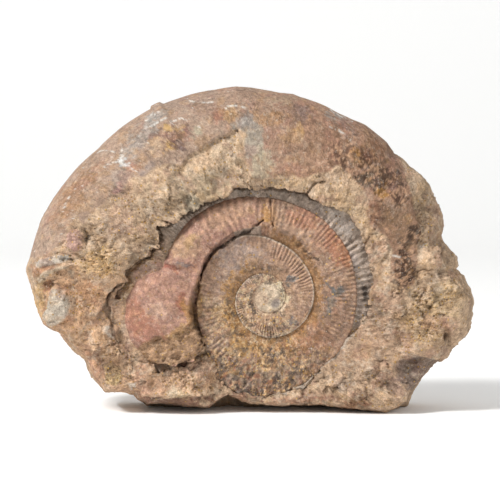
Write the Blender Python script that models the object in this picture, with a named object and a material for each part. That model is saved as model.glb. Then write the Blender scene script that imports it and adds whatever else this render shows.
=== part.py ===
"""Ammonite fossil in its block of limestone, one solid, in metres, +Z up, front towards -Y.

The block is a sphere primitive pressed into the outline of the stone: a bowl in the front holds
the coil, the broken edge of the matrix stands round it, and the smooth outer whorl rounds over the
rim to the back.  The coil is a grid bent along the seam spiral, with a rib at every second row.
Both are joined, then the block is cut off flat where it stands.
"""
import math

import bmesh
import bpy
import numpy as np

MM = 0.001

# The front was measured from a point 2 m in front of the stone and 4 degrees above it.
SIGHT_DISTANCE = 2000.0
SIGHT_RISE = math.radians(4.0)
SIGHT_HEIGHT = 114.85
POLE_X = 11.4
POLE_UP = -35.3

# Shift that brings the middle of the stone's box over the origin.
SHIFT_X = -0.46
SHIFT_Y = 0.90

# Outline of the stone round the coil's centre: degrees anticlockwise from +X, radius in mm.
RIM = [
    (3.1, 147.8), (6.7, 142.8), (9.0, 137.8), (12.4, 140.8), (15.1, 137.2), (17.8, 134.6),
    (20.0, 134.5), (21.8, 137.8), (24.9, 140.5), (32.0, 142.6), (34.9, 144.1), (38.5, 143.5),
    (42.8, 140.9), (48.6, 140.0), (52.4, 142.7), (60.0, 144.4), (68.4, 143.7), (76.4, 146.3),
    (82.5, 149.0), (90.5, 150.8), (98.0, 154.7), (110.0, 156.9), (117.7, 158.6), (118.4, 161.2),
    (120.7, 161.6), (121.3, 159.9), (131.2, 161.7), (137.9, 162.2), (144.3, 165.2), (150.4, 167.5),
    (160.4, 171.6), (170.4, 172.7), (172.9, 173.9), (174.7, 171.7), (179.9, 166.8), (183.5, 163.8),
    (186.4, 161.6), (188.1, 156.3), (189.4, 150.3), (192.0, 147.7), (198.4, 136.6), (201.5, 136.8),
    (205.4, 135.8), (209.9, 133.7), (212.8, 124.1), (215.6, 116.8), (221.7, 115.1), (225.6, 106.4),
    (235.2, 94.7), (242.5, 88.8), (245.7, 79.0), (248.2, 73.8), (254.8, 74.2), (261.2, 75.3),
    (272.5, 76.1), (285.2, 78.6), (297.8, 86.0), (304.1, 93.9), (309.7, 103.8), (316.4, 118.9),
    (320.8, 123.0), (324.2, 125.9), (326.6, 124.2), (333.1, 125.9), (339.3, 130.1), (342.6, 137.1),
    (345.3, 138.8), (349.8, 146.3), (352.5, 148.1), (359.7, 149.8),
]

# Broken edge of the matrix round the coil, in the same form.
BROKEN_EDGE = [
    (0.9, 75.6), (16.0, 78.3), (28.7, 82.9), (46.6, 84.0), (60.0, 81.0), (75.0, 80.1),
    (90.0, 79.5), (106.0, 81.8), (122.0, 81.2), (135.0, 83.7), (143.0, 88.6), (146.5, 92.5),
    (151.0, 88.6), (157.0, 89.3), (160.6, 92.0), (166.0, 99.5), (174.0, 98.5), (180.0, 101.0),
    (190.0, 106.0), (197.0, 106.6), (204.7, 104.5), (208.6, 98.0), (215.0, 80.0), (224.0, 57.6),
    (230.0, 61.0), (239.0, 67.0), (254.0, 70.2), (269.0, 70.2), (293.0, 65.8), (310.0, 63.2),
    (326.0, 64.2), (337.0, 66.0), (346.0, 70.3), (350.0, 74.4),
]

# Level of that edge, and of the groove at its foot, in front of the middle plane in mm.
LIP_LEVEL = [
    (0, 35), (20, 37), (45, 41), (90, 44), (135, 45), (160, 42), (170, 37), (185, 34), (205, 33),
    (215, 32), (228, 29), (240, 28), (300, 28), (325, 28), (337, 30), (348, 34),
]
GROOVE_LEVEL = [
    (0, 28), (45, 30), (60, 29), (80, 26), (110, 26), (125, 29), (158, 30), (172, 31), (205, 32),
    (214, 28), (225, 23), (330, 24), (345, 27),
]
LIP_REACH = 22.0

# Spiral seam between the whorls: unwrapped degrees, radius in mm.  One turn later is the next seam.
SEAM = [
    (-357, 4.0), (-177, 7.7), (-75, 10.2), (12, 14.7), (64, 17.5), (126, 19.4), (174, 21.7),
    (214, 23.5), (256, 26.5), (293, 29.2), (330, 32.3), (363, 35.1), (401, 37.7), (427, 40.7),
    (445, 44.0),
    (470, 49.4), (515, 50.0), (544, 50.4), (563, 52.4), (577, 54.4), (588, 60.8), (599, 67.8),
    (614, 70.8), (629, 71.0), (653, 66.5), (670, 64.0), (700, 65.5), (735, 66.8), (762, 69.8),
    (790, 71.3), (808, 73.4), (824, 76.2), (854, 79.0), (877, 78.0), (884, 79.5), (892, 94.0),
    (905, 102.5), (917, 105.0), (940, 103.2),
]

# Depth of the stone's face in front of its middle plane, and behind it, by angle, in mm.
FRONT_DEPTH = [
    (0, 35), (20, 38), (45, 43), (90, 46), (135, 48), (165, 44), (180, 39), (205, 37), (225, 36),
    (240, 32), (255, 28), (285, 28), (305, 33), (325, 36), (345, 34),
]
BACK_DEPTH = [
    (0, 38), (45, 44), (90, 46), (135, 48), (180, 44), (225, 40), (270, 40), (315, 38),
]

# Width of the rounded band inside the rim, and how square its section is (2 is a true ellipse).
ROUND_WIDTH = [
    (0, 24), (30, 30), (90, 36), (135, 40), (165, 34), (185, 18), (225, 12), (270, 10), (315, 14),
]
SQUARENESS = [(0, 3.0), (30, 2.2), (90, 2.0), (150, 2.1), (185, 3.2), (225, 4.5), (270, 5), (320, 5)]

# Level of the seam and height of the whorl's crest over it along the spiral, in mm.
SEAM_LEVEL = [
    (-357, 24), (180, 25), (360, 27), (440, 28), (577, 28), (600, 24), (640, 22), (680, 24),
    (720, 28), (800, 30), (886, 31), (897, 29), (940, 27),
]
CREST_RISE = [
    (-357, 1.2), (60, 3.0), (200, 4.5), (300, 6.0), (400, 6.5), (470, 9.0), (520, 13.5),
    (577, 14.5),
]

# Lumps and hollows: x and up from the coil's centre, half sizes along and across, turn, height.
LUMPS = [
    (-149.0, -4.0, 9.0, 13.0, 0, 5.0), (-139.0, 36.0, 16.0, 5.0, 10, 3.0),
    (-137.0, -18.0, 9.0, 6.0, 20, 2.5), (-118.0, 24.0, 14.0, 9.0, -50, 3.5),
    (-157.0, 16.0, 8.0, 4.0, 40, 3.5), (-105.0, -26.0, 4.0, 13.0, 10, 4.0),
    (-122.0, -32.0, 10.0, 8.0, 0, 3.5), (-110.0, -54.0, 12.0, 9.0, 0, -3.0),
    (-84.0, 86.0, 14.0, 9.0, 20, 2.5), (-44.0, 96.0, 16.0, 8.0, 15, 3.0),
    (-22.0, 113.0, 12.0, 6.0, 20, 2.5), (-50.0, 82.0, 12.0, 6.0, 30, -2.5),
    (10.0, 92.0, 22.0, 6.0, 0, 2.5), (52.0, 92.0, 16.0, 8.0, -25, 3.0),
    (86.0, 62.0, 8.0, 18.0, 20, 2.5), (94.0, 18.0, 8.0, 14.0, 0, 2.0),
    (136.0, 4.0, 9.0, 10.0, 0, 4.0), (126.0, -18.0, 8.0, 7.0, 0, 4.0),
    (118.0, 30.0, 8.0, 8.0, 0, 3.0), (112.0, 66.0, 7.0, 14.0, 15, -3.0),
    (110.0, -36.0, 12.0, 6.0, 10, 4.5), (126.0, -14.0, 6.0, 4.0, 0, -3.0),
    (88.0, -30.0, 8.0, 14.0, 20, 3.5), (104.0, -50.0, 10.0, 8.0, 40, -6.0),
    (67.0, -68.0, 14.0, 6.0, 0, 3.5), (90.0, -62.0, 8.0, 6.0, 0, -4.0),
    (-46.0, -54.0, 12.0, 6.0, 40, 4.0), (-62.0, -68.0, 20.0, 3.5, 0, 4.0),
]

# Rings of the block's sphere, counted from the pole that becomes the middle of the bowl, and how
# far out the rings of the bowl lie as shares of the broken edge.
BOWL_SHARES = [0.0, 0.45, 0.8, 0.965]
FOOT_RING = 3
EDGE_RING = 4
FACE_RING = 8
RIM_RING = 12
BACK_RING = 16

BOWL_LEVEL = 12.0
SLOPE_LEVEL = 14.0
BACK_STEP = 4.0
FOOT_DROP = 7.0
TURNS_AROUND = 120
RING_COUNT = 21
ROWS_PER_TURN = 120
COLUMNS = 6
RIB_HEIGHT = 1.1
SPIRAL_START = -357
SPIRAL_END = 582
LAST_PIECE = 450
HEART_RADIUS = 13.0
HEART_RISE = 10.5
FLAT_LEVEL = 0.0


def read_table(table, angle, period=None):
    """Read a table of (angle, value) pairs at an angle, straight between its points."""
    points = np.array(table, dtype=float)
    return np.interp(angle, points[:, 0], points[:, 1], period=period)


def place(across, up, depth):
    """Turn a reading in front view and its depth behind the middle plane into a position."""
    rise = (up * (1 + depth * math.cos(SIGHT_RISE) / SIGHT_DISTANCE) - depth * math.sin(SIGHT_RISE))
    height = rise / (math.cos(SIGHT_RISE) + up * math.sin(SIGHT_RISE) / SIGHT_DISTANCE)
    sight = 1 + (depth * math.cos(SIGHT_RISE) - height * math.sin(SIGHT_RISE)) / SIGHT_DISTANCE
    points = [across * sight + SHIFT_X, depth + SHIFT_Y, height + SIGHT_HEIGHT]
    return np.stack(points, axis=-1) * MM


def lumps(across, up):
    """Sum of the soft lumps and hollows at a place measured from the coil's centre."""
    total = np.zeros_like(across)
    for x, z, along, width, turn, height in LUMPS:
        cos_turn = math.cos(math.radians(turn))
        sin_turn = math.sin(math.radians(turn))
        du = ((across - x) * cos_turn + (up - z) * sin_turn) / along
        dv = ((up - z) * cos_turn - (across - x) * sin_turn) / width
        total += height * np.exp(-(du * du + dv * dv) ** 1.5)
    return total


def roughness(angle, radius, salt, length):
    """Broken stone: a few waves that never line up, between about -1 and 1."""
    u = radius * np.cos(np.radians(angle)) / length
    v = radius * np.sin(np.radians(angle)) / length
    waves = np.sin(u * 1.7 + 1.3 * np.sin(v * 1.1 + salt)) + np.sin(v * 1.9 + 1.7 * np.sin(u * 0.9))
    return 0.5 * waves


def grid_values(mesh):
    """Vertex positions of a mesh as an array."""
    values = np.empty(len(mesh.vertices) * 3)
    mesh.vertices.foreach_get("co", values)
    return values.reshape(-1, 3)


def shape_block(mesh):
    """Press the sphere's rings into bowl, broken edge, face, rim and back."""
    ball = grid_values(mesh)
    angle = np.degrees(np.arctan2(ball[:, 1], ball[:, 0])) % 360.0
    ring = np.rint(np.arccos(np.clip(ball[:, 2], -1, 1)) / math.pi * RING_COUNT)
    rim = read_table(RIM, angle, 360)
    edge = read_table(BROKEN_EDGE, angle, 360)
    front = read_table(FRONT_DEPTH, angle, 360)
    back = read_table(BACK_DEPTH, angle, 360)
    power = read_table(SQUARENESS, angle, 360)
    width = np.minimum(read_table(ROUND_WIDTH, angle, 360), 0.75 * (rim - edge))
    back_width = np.minimum(1.3 * read_table(ROUND_WIDTH, angle, 360), 0.45 * rim)

    radius = np.zeros_like(angle)
    depth = np.zeros_like(angle)
    bowl = ring <= FOOT_RING
    shares = np.array(BOWL_SHARES)[np.minimum(ring, FOOT_RING).astype(int)]
    radius[bowl] = (edge * shares)[bowl]
    groove = read_table(GROOVE_LEVEL, angle, 360)
    floor = np.where(ring < FOOT_RING - 1, BOWL_LEVEL, np.where(ring < FOOT_RING, SLOPE_LEVEL, groove))
    depth[bowl] = floor[bowl]

    face = (ring >= EDGE_RING) & (ring <= FACE_RING)
    run = np.clip((ring - EDGE_RING) / (FACE_RING - EDGE_RING), 0, 1) * (rim - width - edge)
    lip = read_table(LIP_LEVEL, angle, 360)
    ease = np.clip(run / LIP_REACH, 0, 1)
    radius[face] = (edge + run)[face]
    depth[face] = (lip + (front - lip) * ease * ease * (3 - 2 * ease))[face]

    turning = (ring > FACE_RING) & (ring < BACK_RING)
    swing = (RIM_RING - ring) * math.pi / 2 / (RIM_RING - FACE_RING)
    bulge = np.abs(np.cos(swing)) ** (2.0 / power)
    side_width = np.where(ring <= RIM_RING, width, back_width)
    side_depth = np.where(ring <= RIM_RING, front, back)
    radius[turning] = (rim - side_width + side_width * bulge)[turning]
    lift = np.sign(np.sin(swing)) * np.abs(np.sin(swing)) ** (2.0 / power)
    depth[turning] = (lift * side_depth)[turning]

    behind = ring >= BACK_RING
    inward = np.clip((RING_COUNT - ring) / (RING_COUNT - BACK_RING), 0, 1)
    radius[behind] = ((rim - back_width) * inward)[behind]
    sunk = BACK_STEP * (inward < 0.75)
    depth[behind] = -(back - sunk)[behind]

    across = radius * np.cos(np.radians(angle))
    up = radius * np.sin(np.radians(angle))
    relief = lumps(across, up) + 1.2 * roughness(angle, radius, 0.5, 9.0)
    fade = np.clip((rim - radius) / 12.0, 0, 1)
    front_side = (ring >= EDGE_RING) & (ring <= RIM_RING)
    depth += np.where(front_side, fade * relief, 0)
    rough_back = 2.6 * roughness(angle, radius, 2.1, 16.0) * (1.0 - 0.6 * (inward > 0.75))
    depth -= np.where(behind, rough_back, 0)
    footing = np.clip((angle - 222) / 8, 0, 1) * np.clip((330 - angle) / 8, 0, 1)
    up -= FOOT_DROP * footing * np.clip(-depth / 15.0, 0, 1) * (radius > 0.5 * rim)
    mesh.vertices.foreach_set("co", place(across + POLE_X, up + POLE_UP, -depth).ravel())


def whorl_section(share, turn):
    """Section of a whorl across its flank: steep at the inner seam, flat, short fall at the keel.

    Past the turn where the last piece of whorl starts, the section is a plain round back.
    """
    flank = np.interp(share, [0.0, 0.17, 0.34, 0.8, 1.0], [0.0, 0.7, 1.0, 0.9, 0.0])
    back = 1 - np.abs(2 * share - 1) ** 3.6
    return np.where(turn < LAST_PIECE, flank, back)


def shape_coil(mesh):
    """Bend the flat grid along the spiral: x runs along the whorl, y across it."""
    flat = grid_values(mesh)
    row = np.rint((flat[:, 0] + 0.5) * spiral_rows())
    share = flat[:, 1] + 0.5
    turn = SPIRAL_START + row * 360.0 / ROWS_PER_TURN
    inner = read_table(SEAM, turn)
    outer = read_table(SEAM, turn + 360)
    slant = 15.0 * share * np.clip((turn - 530) / 50.0, 0, 1)
    radius = inner + share * (outer - inner)
    level = (1 - share) * read_table(SEAM_LEVEL, turn) + share * read_table(SEAM_LEVEL, turn + 360)
    crest = whorl_section(share, turn)
    soft = np.clip((turn - 440) / 60.0, 0, 1)
    rib = RIB_HEIGHT * (1 - 0.75 * soft) * np.where(row % 2 == 0, 1.0, -1.0) * np.clip(crest, 0, 1)
    depth = level + crest * read_table(CREST_RISE, turn) + rib
    angle = np.radians(turn - slant)
    across = radius * np.cos(angle) + POLE_X
    up = radius * np.sin(angle) + POLE_UP
    mesh.vertices.foreach_set("co", place(across, up, -depth).ravel())


def spiral_rows():
    """Number of grid steps along the spiral."""
    return round((SPIRAL_END - SPIRAL_START) * ROWS_PER_TURN / 360.0)


def limestone():
    """Pale brown limestone with no shine."""
    material = bpy.data.materials.new("limestone")
    material.use_nodes = True
    shader = material.node_tree.nodes["Principled BSDF"]
    shader.inputs["Base Color"].default_value = (0.45, 0.31, 0.21, 1.0)
    shader.inputs["Roughness"].default_value = 0.85
    shader.inputs["Metallic"].default_value = 0.0
    return material


def new_collection(name):
    """Make a collection in the scene."""
    collection = bpy.data.collections.new(name)
    bpy.context.scene.collection.children.link(collection)
    return collection


def mesh_object(name, work, collection):
    """Turn a bmesh into an object in the collection."""
    bmesh.ops.recalc_face_normals(work, faces=work.faces)
    mesh = bpy.data.meshes.new(name)
    work.to_mesh(mesh)
    work.free()
    thing = bpy.data.objects.new(name, mesh)
    collection.objects.link(thing)
    return thing


def make_block(collection):
    """The stone with its bowl, still without the coil."""
    work = bmesh.new()
    bmesh.ops.create_uvsphere(work, u_segments=TURNS_AROUND, v_segments=RING_COUNT, radius=1.0)
    mesh = bpy.data.meshes.new("ball")
    work.to_mesh(mesh)
    shape_block(mesh)
    work.clear()
    work.from_mesh(mesh)
    bpy.data.meshes.remove(mesh)
    return mesh_object("ammonite_fossil", work, collection)


def make_coil(collection):
    """The ribbed whorls as one plate that reaches down into the bowl."""
    work = bmesh.new()
    bmesh.ops.create_grid(work, x_segments=spiral_rows(), y_segments=COLUMNS, size=0.5)
    mesh = bpy.data.meshes.new("strip")
    work.to_mesh(mesh)
    shape_coil(mesh)
    work.clear()
    work.from_mesh(mesh)
    bpy.data.meshes.remove(mesh)
    bmesh.ops.remove_doubles(work, verts=work.verts, dist=0.00002)
    skirt = bmesh.ops.extrude_face_region(work, geom=work.faces[:], use_keep_orig=True)
    for item in skirt["geom"]:
        if isinstance(item, bmesh.types.BMVert):
            item.co.y = -BOWL_LEVEL * MM * 0.6
    return mesh_object("coil_guide", work, collection)


def make_heart(collection):
    """The first small whorls, worn to a low dome."""
    work = bmesh.new()
    bmesh.ops.create_uvsphere(work, u_segments=32, v_segments=12, radius=1.0)
    centre = place(np.array([POLE_X]), np.array([POLE_UP]), np.array([-14.0]))[0]
    for vertex in work.verts:
        vertex.co.x = centre[0] + vertex.co.x * HEART_RADIUS * MM
        vertex.co.z = centre[2] + vertex.co.z * HEART_RADIUS * MM
        vertex.co.y = centre[1] + vertex.co.y * HEART_RISE * MM
    return mesh_object("heart_guide", work, collection)


def make_ground(collection):
    """A box under the stone that takes away all below the face it stands on."""
    work = bmesh.new()
    bmesh.ops.create_cube(work, size=0.5)
    for vertex in work.verts:
        vertex.co.z += FLAT_LEVEL - 0.25
    return mesh_object("ground_guide", work, collection)


def join(block, helper, operation):
    """Join the block with a helper, or cut it, by an exact Boolean."""
    helper.hide_render = True
    helper.display_type = "WIRE"
    boolean = block.modifiers.new(helper.name, "BOOLEAN")
    boolean.solver = "EXACT"
    boolean.operation = operation
    boolean.object = helper


for old in list(bpy.data.objects):
    bpy.data.objects.remove(old, do_unlink=True)

fossil = new_collection("ammonite_fossil")
guides = new_collection("guides")
stone = make_block(fossil)
stone.data.materials.append(limestone())
join(stone, make_coil(guides), "UNION")
join(stone, make_heart(guides), "UNION")
join(stone, make_ground(guides), "DIFFERENCE")
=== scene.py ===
"""Ammonite fossil in its block of limestone: the surfaces seen in the photo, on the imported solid."""
import math
from types import SimpleNamespace

import bpy
import numpy as np
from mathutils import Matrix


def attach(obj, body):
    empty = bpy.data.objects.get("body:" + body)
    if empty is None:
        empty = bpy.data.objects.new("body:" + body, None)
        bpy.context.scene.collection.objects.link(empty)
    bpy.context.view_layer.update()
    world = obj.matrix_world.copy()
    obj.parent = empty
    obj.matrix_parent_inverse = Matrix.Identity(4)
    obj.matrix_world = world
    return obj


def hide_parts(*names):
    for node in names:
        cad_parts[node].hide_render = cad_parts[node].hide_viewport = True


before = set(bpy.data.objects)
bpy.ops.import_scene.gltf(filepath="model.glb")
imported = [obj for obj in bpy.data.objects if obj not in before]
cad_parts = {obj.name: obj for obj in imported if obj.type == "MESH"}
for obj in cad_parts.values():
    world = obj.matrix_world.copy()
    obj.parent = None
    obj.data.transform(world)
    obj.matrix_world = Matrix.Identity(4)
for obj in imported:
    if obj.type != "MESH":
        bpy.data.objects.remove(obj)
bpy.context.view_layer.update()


# The block of ironshot limestone with the smooth cast of the outer whorl on its upper side.  It is
# one natural piece, broken away round the coil; the rough break is paler than the whorl's skin.
# Front and back are two surfaces of it that meet just behind the rim.

# The stone was read from a photo, 0.72 mm to a pixel, seen from 2 m away and 4 degrees above.
# Readings are mm from the coil's centre, right and up, and place() sets them in the frame at a
# depth behind the stone's middle plane.  The camera aims at VIEW_HEIGHT over the floor, moved right
# and back by SHIFT, and POLE is the coil's centre, right and up of the middle of its view.
MM = 0.001
PIXEL = 0.72
COIL_PIXEL = (266.0, 299.0)
VIEW_DISTANCE = 2000.0
VIEW_RISE = math.radians(4.0)
VIEW_HEIGHT = 114.85
POLE = (11.4, -35.3)
SHIFT = (-0.46, 0.90)


def from_photo(x, y):
    """Millimetres right and up of the coil's centre for a pixel of the photo."""
    return (np.asarray(x) - COIL_PIXEL[0]) * PIXEL, (COIL_PIXEL[1] - np.asarray(y)) * PIXEL


def place(right, up, depth):
    """Position in metres of a reading: along its line of sight to the given depth."""
    right, up = right + POLE[0], up + POLE[1]
    cos_rise, sin_rise = math.cos(VIEW_RISE), math.sin(VIEW_RISE)
    level = up * (1 + depth * cos_rise / VIEW_DISTANCE) - depth * sin_rise
    height = level / (cos_rise + up * sin_rise / VIEW_DISTANCE)
    nearness = 1 + (depth * cos_rise - height * sin_rise) / VIEW_DISTANCE
    points = [right * nearness + SHIFT[0], depth + SHIFT[1], height + VIEW_HEIGHT]
    return np.stack(points, axis=-1) * MM


# The stone's outline, the edge of the break round the coil, and depths of the section, each as
# (angle round the coil's centre in degrees, mm).  Depths count forward from the middle plane.
RIM = [
    (3.1, 147.8), (6.7, 142.8), (9.0, 137.8), (9.8, 140.3), (12.4, 140.8), (15.1, 137.2),
    (17.8, 134.6), (20.0, 134.5), (21.8, 137.8), (24.9, 140.5), (28.4, 142.2), (32.0, 142.6),
    (34.9, 144.1), (38.5, 143.5), (42.8, 140.9), (46.3, 141.3), (48.6, 140.0), (52.4, 142.7),
    (56.4, 143.2), (60.0, 144.4), (64.5, 143.6), (68.4, 143.7), (72.5, 145.2), (76.4, 146.3),
    (80.6, 147.8), (82.5, 149.0), (86.4, 149.0), (90.5, 150.8), (94.3, 152.8), (98.0, 154.7),
    (103.6, 155.2), (110.0, 156.9), (117.7, 158.6), (118.4, 161.2), (120.7, 161.6), (121.3, 159.9),
    (124.8, 160.5), (131.2, 161.7), (137.9, 162.2), (144.3, 165.2), (150.4, 167.5), (155.1, 169.4),
    (160.4, 171.6), (165.7, 172.1), (170.4, 172.7), (172.9, 173.9), (174.7, 171.7), (176.8, 169.5),
    (179.9, 166.8), (183.5, 163.8), (186.4, 161.6), (188.1, 156.3), (189.4, 150.3), (192.0, 147.7),
    (195.5, 142.7), (198.4, 136.6), (201.5, 136.8), (205.4, 135.8), (209.9, 133.7), (212.8, 124.1),
    (215.6, 116.8), (218.2, 116.6), (221.7, 115.1), (225.6, 106.4), (229.7, 100.9), (235.2, 94.7),
    (242.5, 88.8), (245.7, 79.0), (248.2, 73.8), (254.8, 74.2), (261.2, 75.3), (272.5, 76.1),
    (278.5, 77.9), (285.2, 78.6), (297.8, 86.0), (304.1, 93.9), (309.7, 103.8), (313.7, 112.5),
    (316.4, 118.9), (320.8, 123.0), (324.2, 125.9), (326.6, 124.2), (329.6, 125.1), (333.1, 125.9),
    (336.1, 128.0), (339.3, 130.1), (340.9, 133.3), (342.6, 137.1), (345.3, 138.8), (347.6, 142.3),
    (349.8, 146.3), (352.5, 148.1), (356.1, 149.4), (359.7, 149.8),
]
BROKEN_EDGE = [
    (0.9, 75.6), (16.0, 78.3), (28.7, 82.9), (34.0, 82.4), (40.0, 82.7), (46.6, 84.2), (51.0, 82.8),
    (60.0, 81.0), (66.0, 80.1), (75.0, 80.1), (90.0, 79.5), (101.0, 81.3), (106.0, 81.8),
    (111.7, 80.1), (122.0, 81.2), (130.0, 81.9), (135.0, 83.7), (139.0, 86.7), (143.0, 88.6),
    (146.5, 93.8), (148.0, 89.6), (151.0, 87.6), (154.4, 86.8), (157.0, 89.3), (160.6, 91.2),
    (163.0, 95.5), (166.0, 98.5), (168.5, 102.5), (170.5, 102.0), (172.5, 101.0), (175.0, 103.5),
    (177.5, 107.5), (182.0, 110.0), (190.0, 110.5), (196.0, 109.0), (203.0, 105.0), (208.6, 98.0),
    (215.0, 80.0),
    (220.0, 63.0), (224.0, 57.6), (230.0, 61.0), (239.0, 67.0), (247.0, 69.3), (254.0, 70.2),
    (269.0, 70.2), (293.0, 65.8), (310.0, 63.2), (326.0, 64.2), (337.0, 66.0), (346.0, 70.3),
    (350.0, 74.4), (355.0, 75.1),
]
LIP_LEVEL = [
    (0, 35), (20, 37), (45, 41), (90, 44), (135, 45), (160, 42), (170, 37), (185, 34), (205, 33),
    (215, 32), (228, 29), (240, 28), (300, 28), (325, 28), (337, 30), (348, 34),
]
GROOVE_LEVEL = [
    (0, 28), (45, 30), (60, 31), (80, 31), (110, 31), (125, 31), (152, 31), (160, 33), (168, 34),
    (180, 32), (205, 32), (214, 28), (225, 24), (250, 24), (285, 25), (330, 26), (345, 28),
]
FRONT_DEPTH = [
    (0, 35), (20, 38), (45, 43), (90, 46), (135, 48), (165, 44), (180, 39), (205, 37), (225, 36),
    (240, 32), (255, 28), (285, 28), (305, 33), (325, 36), (345, 34),
]
BACK_DEPTH = [
    (0, 38), (45, 44), (90, 46), (135, 48), (180, 44), (225, 40), (270, 40), (315, 38),
]
ROUND_WIDTH = [
    (0, 24), (30, 30), (90, 36), (135, 40), (165, 34), (185, 18), (225, 12), (270, 10), (315, 14),
]
# Power of the rim's section: 2 is an ellipse, and more is squarer.
SQUARENESS = [(0, 3.0), (30, 2.2), (90, 2.0), (150, 2.1), (185, 3.2), (225, 4.5), (270, 5), (320, 5)]
# Steps of the block in mm: the back's shallow dip, the foot's drop behind the face, the bowl under
# the coil, the lip's undercut, the groove's slope and the crevice beside the keeled side.
BACK_STEP = 4.0
FOOT_DROP = 7.0
BOWL_DEPTH = 12.0
UNDERCUT = 2.6
GROOVE_SLOPE = 2.0
CREVICE_DEPTH = 6.0
# Points round each ring, and rings on each stretch, about 1 mm apart on the face.
AROUND = 1080
BOWL_RINGS = 16
WALL_RINGS = 5
FACE_RINGS = 68
SIDE_RINGS = 34
BACK_RINGS = 136
FACE_START = BOWL_RINGS + WALL_RINGS
FACE_END = FACE_START + FACE_RINGS
# Points on either side over which the rim is evened on the side and back; and where the back piece
# starts, in rings past the face, and how far under the front's edge, in mm.
RIM_SPREAD = 20
BACK_FROM = 2
TUCK = 0.6


def read_table(table, where, period=None):
    """Value at a place: straight lines between the (place, value) pairs of a table."""
    pairs = np.array(table, dtype=float)
    return np.interp(where, pairs[:, 0], pairs[:, 1], period=period)


def smooth(low, high, value):
    """Soft step from 0 at low to 1 at high."""
    share = np.clip((value - low) / (high - low), 0, 1)
    return share * share * (3 - 2 * share)


def lattice(cell, seed):
    """A fixed random value from 0 to 1 for each whole-number cell."""
    mixed = cell[..., 0] * 374761393 + cell[..., 1] * 668265263 + cell[..., 2] * 2147483647
    mixed = (mixed + seed * 1274126177) & 0xFFFFFFFF
    mixed = ((mixed ^ (mixed >> 13)) * 1103515245) & 0xFFFFFFFF
    mixed = ((mixed ^ (mixed >> 16)) * 2246822519) & 0xFFFFFFFF
    return ((mixed ^ (mixed >> 15)) & 0xFFFFFF) / float(0xFFFFFF)


def noise(points, size, seed):
    """Smooth noise from -1 to 1: random values on a lattice of the given size in mm, blended."""
    scaled = points / size
    cell = np.floor(scaled).astype(np.int64)
    share = scaled - cell
    share = share * share * share * (share * (share * 6 - 15) + 10)
    total = np.zeros(points.shape[:-1])
    for corner in range(8):
        step = np.array([corner & 1, (corner >> 1) & 1, corner >> 2])
        weight = np.prod(np.where(step == 1, share, 1 - share), axis=-1)
        total += weight * lattice(cell + step, seed)
    return total * 2 - 1


def layered(points, size, seed, layers=4, rough=0.5):
    """Noise of halving sizes added up, each weaker than the last."""
    total = np.zeros(points.shape[:-1])
    weight = 1.0
    for layer in range(layers):
        total += weight * noise(points, size / 2 ** layer, seed + 17 * layer)
        weight *= rough
    return total


def groove_share(angle):
    """1 where the whorl's keeled side lies open in a groove, 0 where the rock lies on the coil."""
    return smooth(186, 160, (angle + 22) % 360) * smooth(0, 8, (angle + 22) % 360)


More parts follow.
